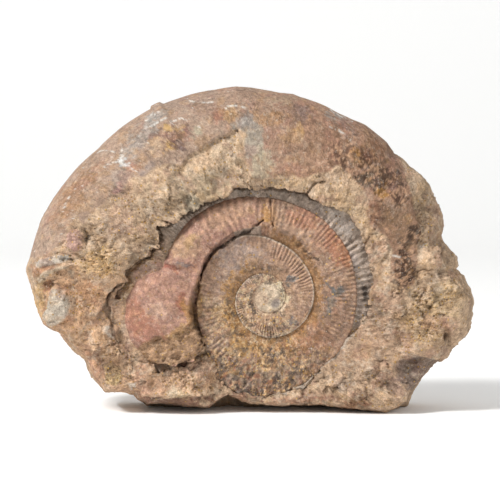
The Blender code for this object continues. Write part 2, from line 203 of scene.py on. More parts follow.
def stone_grid():
    """All rings of the stone: bowl, wall, face, rounded rim, side and back.

    Each ring is a list of angles round the coil's centre.  Over the rim the section is a
    superellipse, |inward / width|^p + |depth / thickness|^p = 1, with p from the squareness table.
    """
    angle = np.arange(AROUND) * 360.0 / AROUND
    rim = read_table(RIM, angle, 360)
    edge = read_table(BROKEN_EDGE, angle, 360)
    round_edge = np.stack([edge * np.cos(np.radians(angle)), 0 * angle,
                           edge * np.sin(np.radians(angle))], axis=-1)
    edge = edge + 1.2 * layered(round_edge, 7.0, 193, 4, 0.6)
    undercut = UNDERCUT * groove_share(angle)
    front = read_table(FRONT_DEPTH, angle, 360)
    back = read_table(BACK_DEPTH, angle, 360)
    power = read_table(SQUARENESS, angle, 360)
    width = np.minimum(read_table(ROUND_WIDTH, angle, 360), 0.75 * (rim - edge))
    back_width = np.minimum(1.3 * read_table(ROUND_WIDTH, angle, 360), 0.45 * rim)

    fractions = np.concatenate([[0.02, 0.4, 0.66], np.linspace(0.76, 1.0, BOWL_RINGS - 3)])[:, None]
    bowl_radius = fractions * (edge + undercut)
    groove = read_table(GROOVE_LEVEL, angle, 360)
    lip = read_table(LIP_LEVEL, angle, 360)
    crevice = CREVICE_DEPTH * smooth(0.955, 0.99, fractions) * smooth(44, 68, angle) * (angle < 180)
    groove_floor = groove + GROOVE_SLOPE * (1 - fractions) / 0.2 - crevice
    bowl_depth = BOWL_DEPTH + (groove_floor - BOWL_DEPTH) * smooth(0.66, 0.8, fractions)

    rise = np.linspace(0.0, 1.0, WALL_RINGS + 2)[1:-1, None]
    wall_radius = edge + undercut * (1 - rise ** 0.6)
    wall_depth = groove + (lip - groove) * rise

    flat_run = rim - width - edge
    run = np.linspace(0.0, 1.0, FACE_RINGS)[:, None] * (flat_run + 1.25 * width)
    turned = np.clip((run - flat_run) / (1.25 * width), 0, 1) * math.pi / 2
    inward = np.abs(np.sin(turned)) ** (2.0 / power)
    face_radius = np.where(run < flat_run, edge + run, rim - width + width * inward)
    level = lip + (front - lip) * smooth(0, 1, run / np.minimum(22.0, flat_run + 0.5 * width))
    face_depth = level * np.abs(np.cos(turned)) ** (2.0 / power)
    swell = np.sin(np.clip(run / np.maximum(flat_run, 1), 0, 1) * math.pi)
    face_depth = face_depth + np.where(run < flat_run, 1.5 * swell * smooth(8, 20, flat_run), 0)

    swing = np.linspace(0.0, math.pi / 2, SIDE_RINGS + 1)[1:, None]
    weights = np.hanning(2 * RIM_SPREAD + 1) / np.hanning(2 * RIM_SPREAD + 1).sum()
    wrapped = np.concatenate([rim[-RIM_SPREAD:], rim, rim[:RIM_SPREAD]])
    even_rim = np.convolve(wrapped, weights, "valid")
    evening = smooth(0.05, 0.7, swing)
    side_rim = rim * (1 - evening) + even_rim * evening
    side_radius = side_rim - back_width * (1 - np.abs(np.cos(swing)) ** (2.0 / power))
    side_depth = -back * np.abs(np.sin(swing)) ** (2.0 / power)

    inwards = np.linspace(1.0, 0.012, BACK_RINGS + 1)[1:, None]
    back_radius = (even_rim - back_width) * inwards
    back_depth = -(back - BACK_STEP * smooth(0.84, 0.74, inwards)) + 0 * back_radius

    radius = np.concatenate([bowl_radius, wall_radius, face_radius, side_radius, back_radius])
    depth = np.concatenate([bowl_depth, wall_depth, face_depth, side_depth, back_depth])
    return np.broadcast_to(angle, radius.shape), radius, depth, rim


def outward(points):
    """Outward unit directions of a grid of rings, from the cross product of its two runs."""
    along = np.gradient(points, axis=0)
    round_about = np.roll(points, -1, axis=1) - np.roll(points, 1, axis=1)
    direction = np.cross(along, round_about)
    length = np.linalg.norm(direction, axis=-1, keepdims=True)
    return direction / np.maximum(length, 1e-12)


def path_distance(right, up, path):
    """Distance in mm to a path of photo pixels, its side (1 left, -1 right) and share along it."""
    x, y = from_photo([p[0] for p in path], [p[1] for p in path])
    nearest = np.full(right.shape, 1e9)
    side = np.ones(right.shape)
    share = np.zeros(right.shape)
    for k in range(len(path) - 1):
        run = np.array([x[k + 1] - x[k], y[k + 1] - y[k]])
        length = run @ run
        t = np.clip(((right - x[k]) * run[0] + (up - y[k]) * run[1]) / length, 0, 1)
        off_x, off_y = right - x[k] - t * run[0], up - y[k] - t * run[1]
        far = np.hypot(off_x, off_y)
        closer = far < nearest
        nearest = np.where(closer, far, nearest)
        side = np.where(closer, np.sign(run[0] * off_y - run[1] * off_x), side)
        share = np.where(closer, (k + t) / (len(path) - 1), share)
    return nearest, side, share


def within(right, up, outline):
    """Distance in mm inside a closed outline of photo pixels, less than 0 outside it."""
    x, y = from_photo([p[0] for p in outline], [p[1] for p in outline])
    inside = np.zeros(right.shape, dtype=bool)
    for k in range(len(outline)):
        x0, y0, x1, y1 = x[k - 1], y[k - 1], x[k], y[k]
        if y0 != y1:
            spans = (y0 > up) != (y1 > up)
            inside ^= spans & (right < (x1 - x0) * (up - y0) / (y1 - y0) + x0)
    far = path_distance(right, up, list(outline) + [outline[0]])[0]
    return np.where(inside, far, -far)


# Skin of the outer whorl, as an outline in photo pixels: there the stone is smooth.
WHORL_SKIN = [
    (20, 262), (58, 252), (66, 232), (76, 214), (84, 226), (88, 216), (104, 206), (112, 196),
    (124, 190), (130, 180), (144, 176), (158, 166), (172, 164), (181, 166), (186, 160), (193, 154),
    (200, 149), (213, 141), (226, 134), (238, 128), (246, 134), (244, 160), (252, 176), (264, 180),
    (285, 174), (306, 178), (326, 172), (338, 166), (350, 176), (360, 186), (366, 194), (368, 206),
    (367, 220), (376, 231), (388, 238), (393, 250), (391, 262), (394, 280), (404, 290), (414, 284),
    (417, 262), (420, 242), (422, 227), (419, 214), (412, 198), (406, 178), (403, 163), (396, 150),
    (396, 60), (20, 60),
]


def skin_share(base, right, up, angle, inward, rings, warp):
    """1 on the whorl's smooth skin and 0 on the break.

    The front follows the outline.  Behind, the skin lies between two angles with noise on them, and
    ends at a share of the way in from the rim; front and back blend through the stone's thickness.
    """
    skin = smooth(-0.8, 1.2, within(right + warp[0], up + warp[1], WHORL_SKIN))
    stray = layered(base, 24.0, 75, 3)
    back_skin = smooth(46, 64, angle + 9 * stray) * smooth(198, 182, angle + 9 * stray)
    back_skin = back_skin * smooth(0.30, 0.42, inward + 0.08 * stray)
    front_side = smooth(10.0, -4.0, base[..., 1] + 5 * stray)
    skin = skin * front_side + back_skin * (1 - front_side)
    return np.where(rings < FACE_START, 0.0, skin)


# Soft lumps and hollows of the face in mm: right, up, half sizes, turn in degrees, height.
LUMPS = [
    (-149.0, -4.0, 9.0, 13.0, 0, 5.0), (-139.0, 36.0, 16.0, 5.0, 10, 3.0),
    (-137.0, -18.0, 9.0, 6.0, 20, 2.5), (-118.0, 24.0, 14.0, 9.0, -50, 3.5),
    (-157.0, 16.0, 8.0, 4.0, 40, 3.5), (-105.0, -26.0, 4.0, 13.0, 10, 4.0),
    (-122.0, -32.0, 10.0, 8.0, 0, 3.5), (-110.0, -54.0, 12.0, 9.0, 0, -3.0),
    (-84.0, 86.0, 14.0, 9.0, 20, 2.5), (-44.0, 96.0, 16.0, 8.0, 15, 3.0),
    (-22.0, 113.0, 12.0, 6.0, 20, 1.5),
    (10.0, 92.0, 22.0, 6.0, 0, 2.5), (52.0, 92.0, 16.0, 8.0, -25, 3.0),
    (86.0, 62.0, 8.0, 18.0, 20, 2.5), (94.0, 18.0, 8.0, 14.0, 0, 2.0),
    (136.0, 4.0, 9.0, 10.0, 0, 4.0), (126.0, -18.0, 8.0, 7.0, 0, 4.0),
    (118.0, 30.0, 8.0, 8.0, 0, 3.0), (112.0, 66.0, 7.0, 14.0, 15, -3.0),
    (110.0, -36.0, 12.0, 6.0, 10, 4.5), (126.0, -14.0, 6.0, 4.0, 0, -3.0),
    (88.0, -30.0, 8.0, 14.0, 20, 3.5), (104.0, -50.0, 10.0, 8.0, 40, -3.0),
    (67.0, -68.0, 14.0, 6.0, 0, 3.5), (90.0, -62.0, 8.0, 6.0, 0, -2.0),
    (-46.0, -54.0, 12.0, 6.0, 40, 4.0), (-62.0, -68.0, 20.0, 3.5, 0, 4.0),
]


def lumps(right, up):
    """Sum of soft lumps and hollows: height times exp(-distance cubed) of an oval."""
    total = np.zeros_like(right)
    for x, y, along, width, turn, height in LUMPS:
        cos_turn, sin_turn = math.cos(math.radians(turn)), math.sin(math.radians(turn))
        u = ((right - x) * cos_turn + (up - y) * sin_turn) / along
        v = ((up - y) * cos_turn - (right - x) * sin_turn) / width
        total += height * np.exp(-(u * u + v * v) ** 1.5)
    return total


def crack(right, up, path, width, depth, warp):
    """A groove along a path of pixels, at most so deep, narrowing to its ends."""
    far, _, share = path_distance(right + warp[0], up + warp[1], path)
    return -depth * np.exp(-(far / width) ** 2) * smooth(0, 0.12, share) * smooth(0, 0.12, 1 - share)


def ledge(right, up, path, rise, reach, sharp, warp):
    """A step along a path: higher by rise on its left side, dying out over the reach."""
    far, side, share = path_distance(right + warp[0], up + warp[1], path)
    ends = smooth(0, 0.1, share) * smooth(0, 0.1, 1 - share)
    return rise * 0.5 * np.tanh(side * far / sharp) * np.exp(-far / reach) * ends


# Steps in the break: path in photo pixels, rise, reach and sharpness in mm.  The left of the path's
# direction is the higher side.
LEDGES = [
    ([(168, 174), (181, 166), (193, 154), (200, 149), (213, 141), (226, 135), (240, 128)],
     2.4, 10.0, 0.5),
    ([(190, 172), (202, 162), (212, 156)], 1.2, 5.0, 0.5),
    ([(86, 248), (85, 236), (81, 226)], 4.0, 7.0, 0.4),
    ([(138, 398), (160, 398), (190, 396), (222, 394)], 5.0, 9.0, 0.8),
    ([(398, 362), (412, 357), (428, 359), (442, 360)], 3.6, 12.0, 0.8),
    ([(441, 319), (446, 326), (449, 341)], 2.5, 5.0, 0.6),
    ([(107, 272), (98, 281), (94, 292)], 2.5, 6.0, 0.7),
    ([(96, 320), (104, 303), (113, 290), (128, 276)], 5.0, 8.0, 0.6),
    ([(114, 346), (117, 330), (120, 317)], 3.0, 5.0, 0.5),
    ([(34, 283), (55, 269), (70, 266)], 2.5, 5.0, 0.6),
    ([(50, 325), (68, 318), (73, 303), (70, 290), (60, 284)], 2.5, 5.0, 0.7),
    ([(415, 180), (410, 200), (418, 216), (421, 232), (416, 264), (412, 286)], -2.0, 8.0, 1.0),
    ([(384, 335), (392, 340), (398, 337)], 1.6, 4.0, 0.5),
    ([(318, 183), (310, 191), (306, 196)], 2.0, 5.0, 0.5),
    ([(130, 352), (128, 372), (136, 390)], 1.8, 5.0, 0.6),
]
# Cracks: path in pixels, half width and depth in mm.
CRACKS = [
    ([(89, 226), (93, 237), (98, 246), (103, 258), (110, 268)], 0.7, 2.4),
    ([(81, 228), (85, 234), (86, 243)], 1.1, 3.6),
    ([(417, 280), (417, 273), (423, 269), (431, 271)], 0.5, 1.4),
    ([(306, 196), (310, 191), (313, 186), (318, 183), (328, 181)], 0.8, 3.0),
    ([(351, 395), (355, 391), (359, 387)], 0.4, 0.8),
    ([(181, 166), (179, 171), (182, 176)], 0.5, 1.4),
    ([(374, 228), (378, 233), (382, 238)], 0.5, 1.4),
]
# Raised or sunk slabs with sharp edges: outline in pixels, rise in mm, colour; the darker colours of
# sunk slabs are painted shade.
SLABS = [
    ([(52, 288), (60, 287), (68, 294), (71, 303), (70, 314), (62, 322), (52, 324), (46, 320),
      (49, 312), (51, 302)], 2.8, "#b9ae9c"),
    ([(34, 262), (45, 258), (58, 255), (70, 254), (71, 259), (60, 263), (46, 266), (36, 268)],
     1.4, "#c3b8a8"),
    ([(66, 236), (72, 229), (80, 229), (83, 238), (81, 249), (74, 251), (67, 246)], 2.2, "#b08a7c"),
    ([(36, 280), (44, 272), (56, 267), (70, 264), (70, 267), (57, 271), (46, 277), (38, 284)],
     2.0, "#cbb497"),
    ([(40, 284), (50, 279), (53, 285), (50, 291), (43, 292)], -2.0, "#a06f50"),
    ([(105, 326), (112, 326), (115, 332), (114, 339), (108, 337), (103, 331)], 1.8, "#c4b8a6"),
    ([(93, 349), (98, 347), (103, 350), (103, 356), (97, 358), (93, 354)], 2.2, "#a98768"),
    ([(104, 366), (112, 363), (120, 368), (121, 380), (116, 386), (106, 384)], 0.8, "#d2b27e"),
    ([(128, 384), (134, 382), (136, 387), (131, 391)], 1.0, "#c9c2b6"),
    ([(114, 289), (122, 288), (121, 300), (119, 320), (116, 344), (111, 346), (113, 338),
      (107, 331), (112, 323), (106, 315), (105, 306), (112, 300)], -1.8, "#c09c7f"),
    ([(133, 268), (147, 262), (160, 262), (170, 266), (168, 282), (150, 284), (134, 284)],
     0.0, "#b3917d"),
    # Painted shadow under the torn end, in this slab and the next.
    ([(176, 353), (186, 353), (189, 360), (184, 367), (177, 364)], -3.0, "#8f6d55"),
    ([(155, 362), (162, 361), (164, 369), (158, 371)], -2.2, "#a17a60"),
    ([(384, 333), (392, 331), (398, 336), (391, 341), (385, 339)], 1.4, "#b5977c"),
    ([(441, 317), (446, 319), (450, 330), (448, 342), (444, 338), (443, 328)], -1.5, "#97765a"),
    ([(400, 359), (420, 356), (432, 358), (441, 360), (430, 376), (416, 392), (404, 388),
      (398, 372)], -1.0, "#a18a79"),
]
# Pits and hollows: pixel, half sizes in pixels, turn in degrees, depth in mm.
HOLLOWS = [
    (441, 319, 5, 3, 30, 2.0), (448, 293, 5, 4, 0, 1.4), (43, 278, 5, 4, 0, 2.4),
    (113, 298, 6, 9, 25, 3.5), (63, 276, 3, 3, 0, 1.8), (82, 322, 1.6, 1.6, 0, 1.6),
    (99, 353, 4, 4, 0, 1.8), (447, 333, 3, 7, 0, 2.0), (347, 406, 2, 2, 0, 1.2),
    (368, 293, 3, 6, 0, 2.0), (176, 356, 9, 4, 0, 3.0), (205, 346, 5, 5, 0, 3.0),
    (86, 244, 2, 4, 0, 1.5), (143, 268, 6, 3, 20, 1.6), (382, 312, 3, 6, 0, 0.8),
]
# Ovals in pixels where the break runs smoother.
QUIET_ROCK = [(128, 222, 46, 34, 35), (222, 160, 44, 26, 25), (114, 318, 9, 30, 0)]


def blob(right, up, spot):
    """Distance from an oval spot: 0 at its middle, 1 on its edge, the root of summed squares."""
    x, y, half_x, half_y, turn = spot
    spot_right, spot_up = from_photo(x, y)
    cos_turn, sin_turn = math.cos(math.radians(turn)), math.sin(math.radians(turn))
    along = ((right - spot_right) * cos_turn + (up - spot_up) * sin_turn) / (half_x * PIXEL)
    across = ((up - spot_up) * cos_turn - (right - spot_right) * sin_turn) / (half_y * PIXEL)
    return np.sqrt(along * along + across * across)


def cells(points, size, seed):
    """Distance in cells to the nearest scattered point, and that point's random value."""
    scaled = points / size
    home = np.floor(scaled).astype(np.int64)
    best = np.full(points.shape[:-1], 9.0)
    value = np.zeros(points.shape[:-1])
    for index in range(27):
        step = np.array([index % 3 - 1, (index // 3) % 3 - 1, index // 9 - 1])
        cell = home + step
        spot = np.stack([lattice(cell, seed + k) for k in (1, 2, 3)], axis=-1) + cell
        far = np.sqrt(((spot - scaled) ** 2).sum(axis=-1))
        nearer = far < best
        best = np.where(nearer, far, best)
        value = np.where(nearer, lattice(cell, seed + 4), value)
    return best, value


def facets(points, size, seed):
    """Chipped faces: each point takes the height of a tilted plane through its nearest spot."""
    scaled = points / size
    home = np.floor(scaled).astype(np.int64)
    best = np.full(points.shape[:-1], 9.0)
    height = np.zeros(points.shape[:-1])
    for index in range(27):
        cell = home + np.array([index % 3 - 1, (index // 3) % 3 - 1, index // 9 - 1])
        offset = scaled - cell - np.stack([lattice(cell, seed + k) for k in (1, 2, 3)], axis=-1)
        far = np.sqrt((offset ** 2).sum(axis=-1))
        tilt = np.stack([lattice(cell, seed + k) - 0.5 for k in (5, 6, 7)], axis=-1)
        plane = lattice(cell, seed + 4) - 0.5 + 1.5 * (tilt * offset).sum(axis=-1)
        height = np.where(far < best, plane, height)
        best = np.minimum(far, best)
    return height


def rock(points, right, up, skin):
    """Relief of the stone: soft swells on the whorl's skin, broken grain and pits elsewhere."""
    bend = np.stack([layered(points, 5.0, seed, 3) for seed in (201, 203, 205)], axis=-1)
    bent = points + 1.7 * bend
    coarse = layered(points, 17.0, 3, 3)
    folds = 0.5 - np.abs(layered(bent * np.array([1.0, 1.0, 1.3]), 8.0, 11, 3))
    chips = 2.8 * facets(bent, 14.0, 207) + 1.2 * facets(bent, 6.0, 211)
    rubble = 1.7 * np.abs(layered(bent, 11.0, 219, 3, 0.6)) + 0.8 * np.abs(noise(bent, 4.5, 221))
    rubble = rubble - 1.3
    grain = layered(points, 2.8, 23, 3, 0.7)
    spots, value = cells(points, 2.3, 31)
    pits = -smooth(0.6, 0.15, spots) * (value > 0.7)
    calm = 0.35 + 0.65 * smooth(-0.4, 0.4, noise(points, 24.0, 213))
    clefts = -smooth(0.07, 0.0, np.abs(noise(bent, 15.0, 215))) * smooth(-0.1, 0.5, coarse)
    rough = 1.1 * coarse + calm * (chips + 0.8 * folds + rubble) + 0.35 * grain
    rough = rough + (0.3 + 0.7 * calm) * pits + 1.6 * clefts
    for spot in QUIET_ROCK:
        rough = rough * (1 - 0.3 * smooth(1.3, 0.6, blob(right, up, spot)))
    scars = smooth(0.25, 0.6, noise(points, 20.0, 217))
    soft = 0.45 * coarse + (0.04 + 0.14 * scars) * (grain + chips) + 0.3 * pits * (value > 0.86)
    return rough * (1 - skin) + soft * skin


def stone_relief(base, right, up, inside_rim, rings, skin, warp):
    """Height in mm on the even block: break or skin, and on the face each placed form added to it."""
    in_front = smooth(FACE_START - 3, FACE_START, rings) * smooth(FACE_END + 3, FACE_END - 2, rings)
    relief = rock(base, right, up, skin)
    relief += in_front * lumps(right, up) * np.clip(inside_rim / 12, 0, 1)
    for path, rise, reach, sharp in LEDGES:
        relief += in_front * ledge(right, up, path, rise, reach, sharp, warp)
    for path, width, deep in CRACKS:
        relief += in_front * crack(right, up, path, width, deep, [0.4 * warp[0], 0.4 * warp[1]])
    for x, y, half_x, half_y, turn, deep in HOLLOWS:
        relief -= in_front * deep * smooth(1.2, 0.3, blob(right, up, (x, y, half_x, half_y, turn)))
    for outline, rise, tint in SLABS:
        relief += in_front * rise * smooth(-0.5, 0.5, within(right + 0.3 * warp[0], up, outline))
    return relief


def venter_band(base, angle, rings):
    """Height in mm of the ribs on the whorl's keeled side, seen in the groove.

    A rib is a sine of the angle: 105 to a turn on the right, and twice as many upper left.
    """
    sway = 0.5 * noise(base, 9.0, 181)
    right_ribs = np.sin(np.radians(angle) * 105 + sway * 2)
    left_ribs = np.sin(np.radians(angle) * 210 + sway * 2)
    on_right = smooth(60, 45, np.abs((angle + 175) % 360 - 180))
    on_left = smooth(32, 24, np.abs(angle - 135))
    broken = 0.25 + 0.75 * smooth(-0.5, 0.5, layered(base, 6.0, 183, 3, 0.7))
    course = right_ribs * on_right + left_ribs * on_left
    return (rings < BOWL_RINGS) * broken * (0.9 * on_right + 0.35 * on_left) * course


def set_down(shaped, angle, radius, depth, rim):
    """Lower the broken underside behind the face, and cut it level where it meets the floor."""
    footing = np.clip((angle - 222) / 8, 0, 1) * np.clip((330 - angle) / 8, 0, 1)
    shaped[..., 2] -= FOOT_DROP * footing * np.clip(-depth / 15.0, 0, 1) * (radius > 0.5 * rim)
    shaped[..., 2] = np.maximum(shaped[..., 2], 0.0)
    return shaped


def linear(hex_colour):
    """Linear red, green, blue of an sRGB hex colour."""
    values = np.array([int(hex_colour[i:i + 2], 16) for i in (1, 3, 5)]) / 255.0
    return np.where(values <= 0.04045, values / 12.92, ((values + 0.055) / 1.055) ** 2.4)


def mix(colour, tint, share):
    """Blend colours towards an sRGB hex colour by a share from 0 to 1 at each point."""
    share = share[..., None]
    return colour * (1 - share) + linear(tint) * share


def paint(right, up, base, warp, fray, patches):
    """Lay frayed patches of colour over a base: pixel, half sizes, turn, colour, strength."""
    colour = base.copy()
    for x, y, half_x, half_y, turn, tint, strength in patches:
        cover = blob(right + warp[0], up + warp[1], (x, y, half_x, half_y, turn))
        colour = mix(colour, tint, strength * smooth(1.15, 0.75, cover + fray))
    return colour


# Stains of the break and of the skin, with some painted shade on the break: pixel, half sizes in
# pixels, turn, colour, strength.
ROCK_PATCHES = [
    (85, 320, 60, 56, 0, "#c99b74", 0.5), (150, 385, 60, 24, 0, "#d2a784", 0.65),
    (380, 350, 60, 50, 0, "#b8967a", 0.55), (190, 195, 60, 30, 25, "#d3b795", 0.5),
    (98, 262, 20, 14, 0, "#d0aa76", 0.6), (90, 290, 18, 12, 20, "#c18f66", 0.6),
    (42, 270, 11, 5, 0, "#b27a5a", 0.7), (63, 300, 34, 40, 0, "#bd8d66", 0.3),
    (38, 300, 7, 24, -10, "#cfa972", 0.7), (126, 340, 6, 20, 0, "#c5a68c", 0.6),
    # The patch at (180, 402) is painted shade under the bottom ledge.
    (96, 370, 8, 16, 20, "#bd8a66", 0.5), (180, 402, 44, 6, 0, "#9f7560", 0.8),
    (180, 389, 12, 6, 0, "#d6c09a", 0.6), (150, 385, 16, 10, 0, "#b98b6c", 0.4),
    (205, 372, 12, 14, 0, "#a9836c", 0.5), (240, 398, 22, 5, 0, "#b98469", 0.6),
    (300, 400, 30, 4, 0, "#ad7a5f", 0.6), (356, 404, 16, 6, 0, "#a9714f", 0.6),
    (360, 397, 12, 8, 30, "#8b6a50", 0.7), (346, 385, 10, 7, 0, "#a08571", 0.6),
    # These two patches are painted shade in the recess at the lower right.
    (412, 372, 18, 14, 40, "#a08a7c", 0.8), (396, 384, 8, 14, 10, "#9c7d6c", 0.5),
    (425, 318, 20, 28, 0, "#c3a06f", 0.5), (448, 300, 16, 20, 0, "#c9ab80", 0.5),
    (380, 330, 18, 22, 0, "#b38e72", 0.4), (425, 195, 12, 26, -20, "#c1a27c", 0.5),
    (437, 240, 8, 14, 0, "#ad8b70", 0.5), (200, 190, 26, 16, 20, "#c2ab88", 0.5),
    (195, 205, 10, 10, 0, "#a9a18c", 0.5), (160, 210, 18, 16, 0, "#c4a686", 0.4),
    (225, 160, 30, 16, 30, "#d0b696", 0.6), (150, 225, 24, 20, 0, "#cba987", 0.4),
    (120, 220, 16, 16, 0, "#c49e86", 0.4), (290, 183, 24, 6, 0, "#c9aa84", 0.5),
    (340, 205, 24, 14, -30, "#c6a782", 0.6), (375, 225, 14, 16, 0, "#bf9c74", 0.5),
    (388, 256, 12, 10, 0, "#b49a80", 0.4), (372, 270, 10, 30, 0, "#b8967a", 0.4),
    (392, 300, 12, 14, 0, "#a38069", 0.5), (222, 178, 10, 5, 20, "#8f6b3c", 0.4),
    (422, 245, 3, 2.5, 0, "#ece2d0", 0.9), (423, 246, 1.5, 1.3, 0, "#c9a24a", 0.8),
]
SKIN_PATCHES = [
    (138, 139, 26, 9, 45, "#aaa399", 0.55), (158, 116, 12, 5, 40, "#a9a59c", 0.5),
    (123, 162, 5, 5, 0, "#dcd8d0", 0.9), (120, 178, 14, 10, 40, "#a0968b", 0.4),
    (80, 190, 12, 26, -35, "#9a7455", 0.7), (62, 210, 9, 20, -20, "#a57d5d", 0.6),
    (100, 195, 12, 12, 0, "#a3876f", 0.6), (119, 194, 8, 9, 0, "#b0857c", 0.8),
    (134, 166, 9, 6, 0, "#b58672", 0.7), (150, 172, 12, 10, 0, "#9b8a80", 0.6),
    (166, 140, 22, 12, 10, "#846558", 0.75), (176, 139, 11, 6, 20, "#65504b", 0.9),
    (182, 133, 8, 7, 0, "#75594f", 0.8), (157, 145, 10, 8, 0, "#d3b08c", 0.9),
    (168, 130, 7, 4, 0, "#cba468", 0.8), (174, 147, 8, 5, 0, "#d6aa6a", 0.9),
    (180, 148, 8, 3, -20, "#735a55", 0.8), (180, 128, 5, 3, 0, "#bf9a6c", 0.7),
    (194, 133, 5, 6, 0, "#b0a98c", 0.6),
    (220, 116, 9, 8, 0, "#a96f55", 0.65), (232, 117, 5, 9, 0, "#c79d68", 0.65),
    (205, 112, 20, 8, 15, "#9d7c68", 0.4), (190, 104, 26, 5, 16, "#a38b79", 0.5),
    (252, 140, 14, 26, 15, "#b0a592", 0.75), (262, 165, 12, 16, 0, "#b3a488", 0.7),
    (245, 122, 12, 8, 0, "#a39c94", 0.6), (280, 100, 24, 6, -6, "#b59a7c", 0.6),
    (302, 111, 10, 8, 0, "#8a736b", 0.6), (290, 119, 26, 5, -8, "#8f6f5a", 0.6),
    (299, 133, 7, 9, 0, "#c2965f", 0.7), (290, 136, 10, 6, 0, "#bd9468", 0.5),
    (269, 118, 16, 6, 0, "#b98a58", 0.5), (335, 118, 12, 6, -30, "#9f978c", 0.65),
    (350, 131, 12, 5, -40, "#8f8984", 0.6), (310, 150, 26, 16, -20, "#b28d70", 0.5),
    (335, 145, 18, 14, -30, "#a47d60", 0.5), (345, 128, 16, 8, -30, "#a27358", 0.5),
    (337, 162, 9, 9, 0, "#64452f", 0.9), (364, 158, 13, 9, -20, "#5f4129", 0.95),
    (357, 150, 4, 5, 0, "#b88447", 0.9), (375, 150, 12, 14, -40, "#835a3d", 0.7),
    (372, 179, 13, 11, 0, "#4a3422", 0.95), (389, 178, 9, 9, 0, "#533c2a", 0.95),
    (398, 178, 6, 11, -10, "#493830", 0.9), (384, 165, 14, 6, 0, "#6e5038", 0.6),
    (384, 190, 12, 6, -20, "#b98540", 0.8), (370, 165, 10, 3, 10, "#c0a08a", 0.6),
    (378, 213, 10, 12, 0, "#6b4a37", 0.95), (390, 216, 12, 12, 0, "#86694f", 0.7),
    (398, 200, 9, 9, -40, "#57402f", 0.9), (405, 222, 10, 20, 10, "#8a6c52", 0.7),
    (412, 234, 7, 9, 0, "#433226", 0.9), (404, 244, 6, 10, 0, "#533f31", 0.8),
    (404, 272, 11, 18, 0, "#472f22", 0.95), (395, 236, 8, 8, 0, "#8b6b4f", 0.6),
]
# Fine lines of white lime on the whorl's skin, as paths in pixels.
LIME_LINES = [
    [(107, 163), (116, 161), (127, 163), (140, 161)], [(120, 144), (122, 154), (124, 166)],
    [(124, 162), (130, 166), (137, 171)], [(132, 140), (140, 133), (147, 126)],
    [(146, 122), (152, 116), (159, 112)], [(150, 127), (160, 122), (166, 118)],
    [(97, 152), (106, 150), (114, 151)], [(62, 210), (65, 203), (69, 197)],
    [(172, 122), (181, 118), (188, 120)], [(190, 100), (204, 103), (214, 102)],
    [(226, 108), (236, 106), (246, 110)], [(150, 172), (160, 178), (166, 181)],
    [(328, 108), (340, 116), (352, 122)], [(330, 128), (345, 134), (352, 140)],
    [(386, 256), (392, 255), (399, 257)], [(388, 275), (390, 281)],
]
# Fields of crumbly dark crust with tan grains, as ovals in pixels with their strength.
CRUST_FIELDS = [
    (352, 156, 26, 13, -20, 0.8), (376, 178, 22, 13, 0, 0.9), (397, 200, 13, 13, -40, 1.0),
    (404, 272, 12, 20, 0, 1.0), (411, 238, 9, 13, 0, 0.8), (382, 216, 14, 12, 0, 0.4),
    (166, 140, 20, 10, 10, 0.2), (240, 112, 22, 7, 0, 0.5), (290, 120, 30, 8, -8, 0.4),
    (345, 135, 20, 8, -30, 0.4), (112, 196, 16, 12, 40, 0.35),
]


def placed_colours(points, right, up, skin, warp, fray, seen, reddish):
    """Stains with a clear place: greyer skin, redder at the right, pale brown break, and slabs, with
    painted shade in some patches and in the darker sunk slabs.
    """
    skin_base = mix(linear("#ae917a") + 0 * points, "#a78166", reddish)
    skin_base = paint(right, up, skin_base, warp, fray, SKIN_PATCHES)
    rock_base = paint(right, up, linear("#d0af8d") + 0 * points, warp, fray, ROCK_PATCHES)
    for outline, _, tint in SLABS:
        cover = 0.85 * smooth(-0.4, 0.6, within(right + 0.12 * warp[0], up, outline))
        rock_base = mix(rock_base, tint, cover * seen)
    return skin_base * skin[..., None] + rock_base * (1 - skin[..., None])


def clouded(colour, points, skin, reddish):
    """Weathering all over: light and dark clouds, then ochre, rose, pale and brown patches."""
    cloudy = layered(points, 16.0, 53, 5, 0.7)
    ochre = smooth(0.35, 0.8, layered(points, 7.0, 59, 5, 0.7))
    rose = smooth(0.3, 0.9, layered(points, 11.0, 61, 4, 0.7))
    pale = smooth(0.45, 0.8, layered(points, 6.0, 63, 5, 0.75))
    brown = 0.3 * smooth(0.4, 0.7, layered(points, 9.0, 65, 5, 0.75))
    colour = colour * (1 + 0.10 * cloudy)[..., None]
    colour = mix(colour, "#bb8f5a", 0.30 * ochre)
    colour = mix(colour, "#ac7a6a", 0.30 * rose)
    colour = mix(colour, "#d2bda4", pale * (0.45 - 0.25 * skin))
    return mix(colour, "#80614c", brown * (1 - 0.5 * skin + 1.2 * reddish * skin))


def crusted(colour, points, right, up, warp, fray, seen):
    """Dark crust with tan crumbs 1 to 3 mm across, from noise, inside the crust fields."""
    crumbs = layered(points, 2.6, 257, 3, 0.85)
    crust = np.zeros_like(right)
    for x, y, half_x, half_y, turn, amount in CRUST_FIELDS:
        field = blob(right + warp[0], up + warp[1], (x, y, half_x, half_y, turn)) + fray
        crust = np.maximum(crust, amount * smooth(1.25, 0.75, field) * seen)
    colour = mix(colour, "#482f1f", 0.7 * crust * smooth(0.1, -0.3, crumbs))
    return mix(colour, "#cfa27c", 0.65 * crust * smooth(0.25, 0.55, crumbs))


def chalky_share(points, right, up, skin, specks, warp, seen, turn):
    """White lime on the skin: the placed lines, broken by specks, and small dots at the left."""
    chalky = np.zeros_like(right)
    for path in LIME_LINES:
        far = path_distance(right + 0.25 * warp[0], up + 0.25 * warp[1], path)[0]
        chalky = np.maximum(chalky, smooth(0.8, 0.2, far) * smooth(-0.5, 0.3, specks) * seen)
    near, value = cells(points, 5.0, 251)
    dots = smooth(0.16, 0.08, near) * (value > 0.55) * smooth(60, 130, turn) * (turn < 190)
    return 0.85 * np.maximum(chalky, dots) * skin


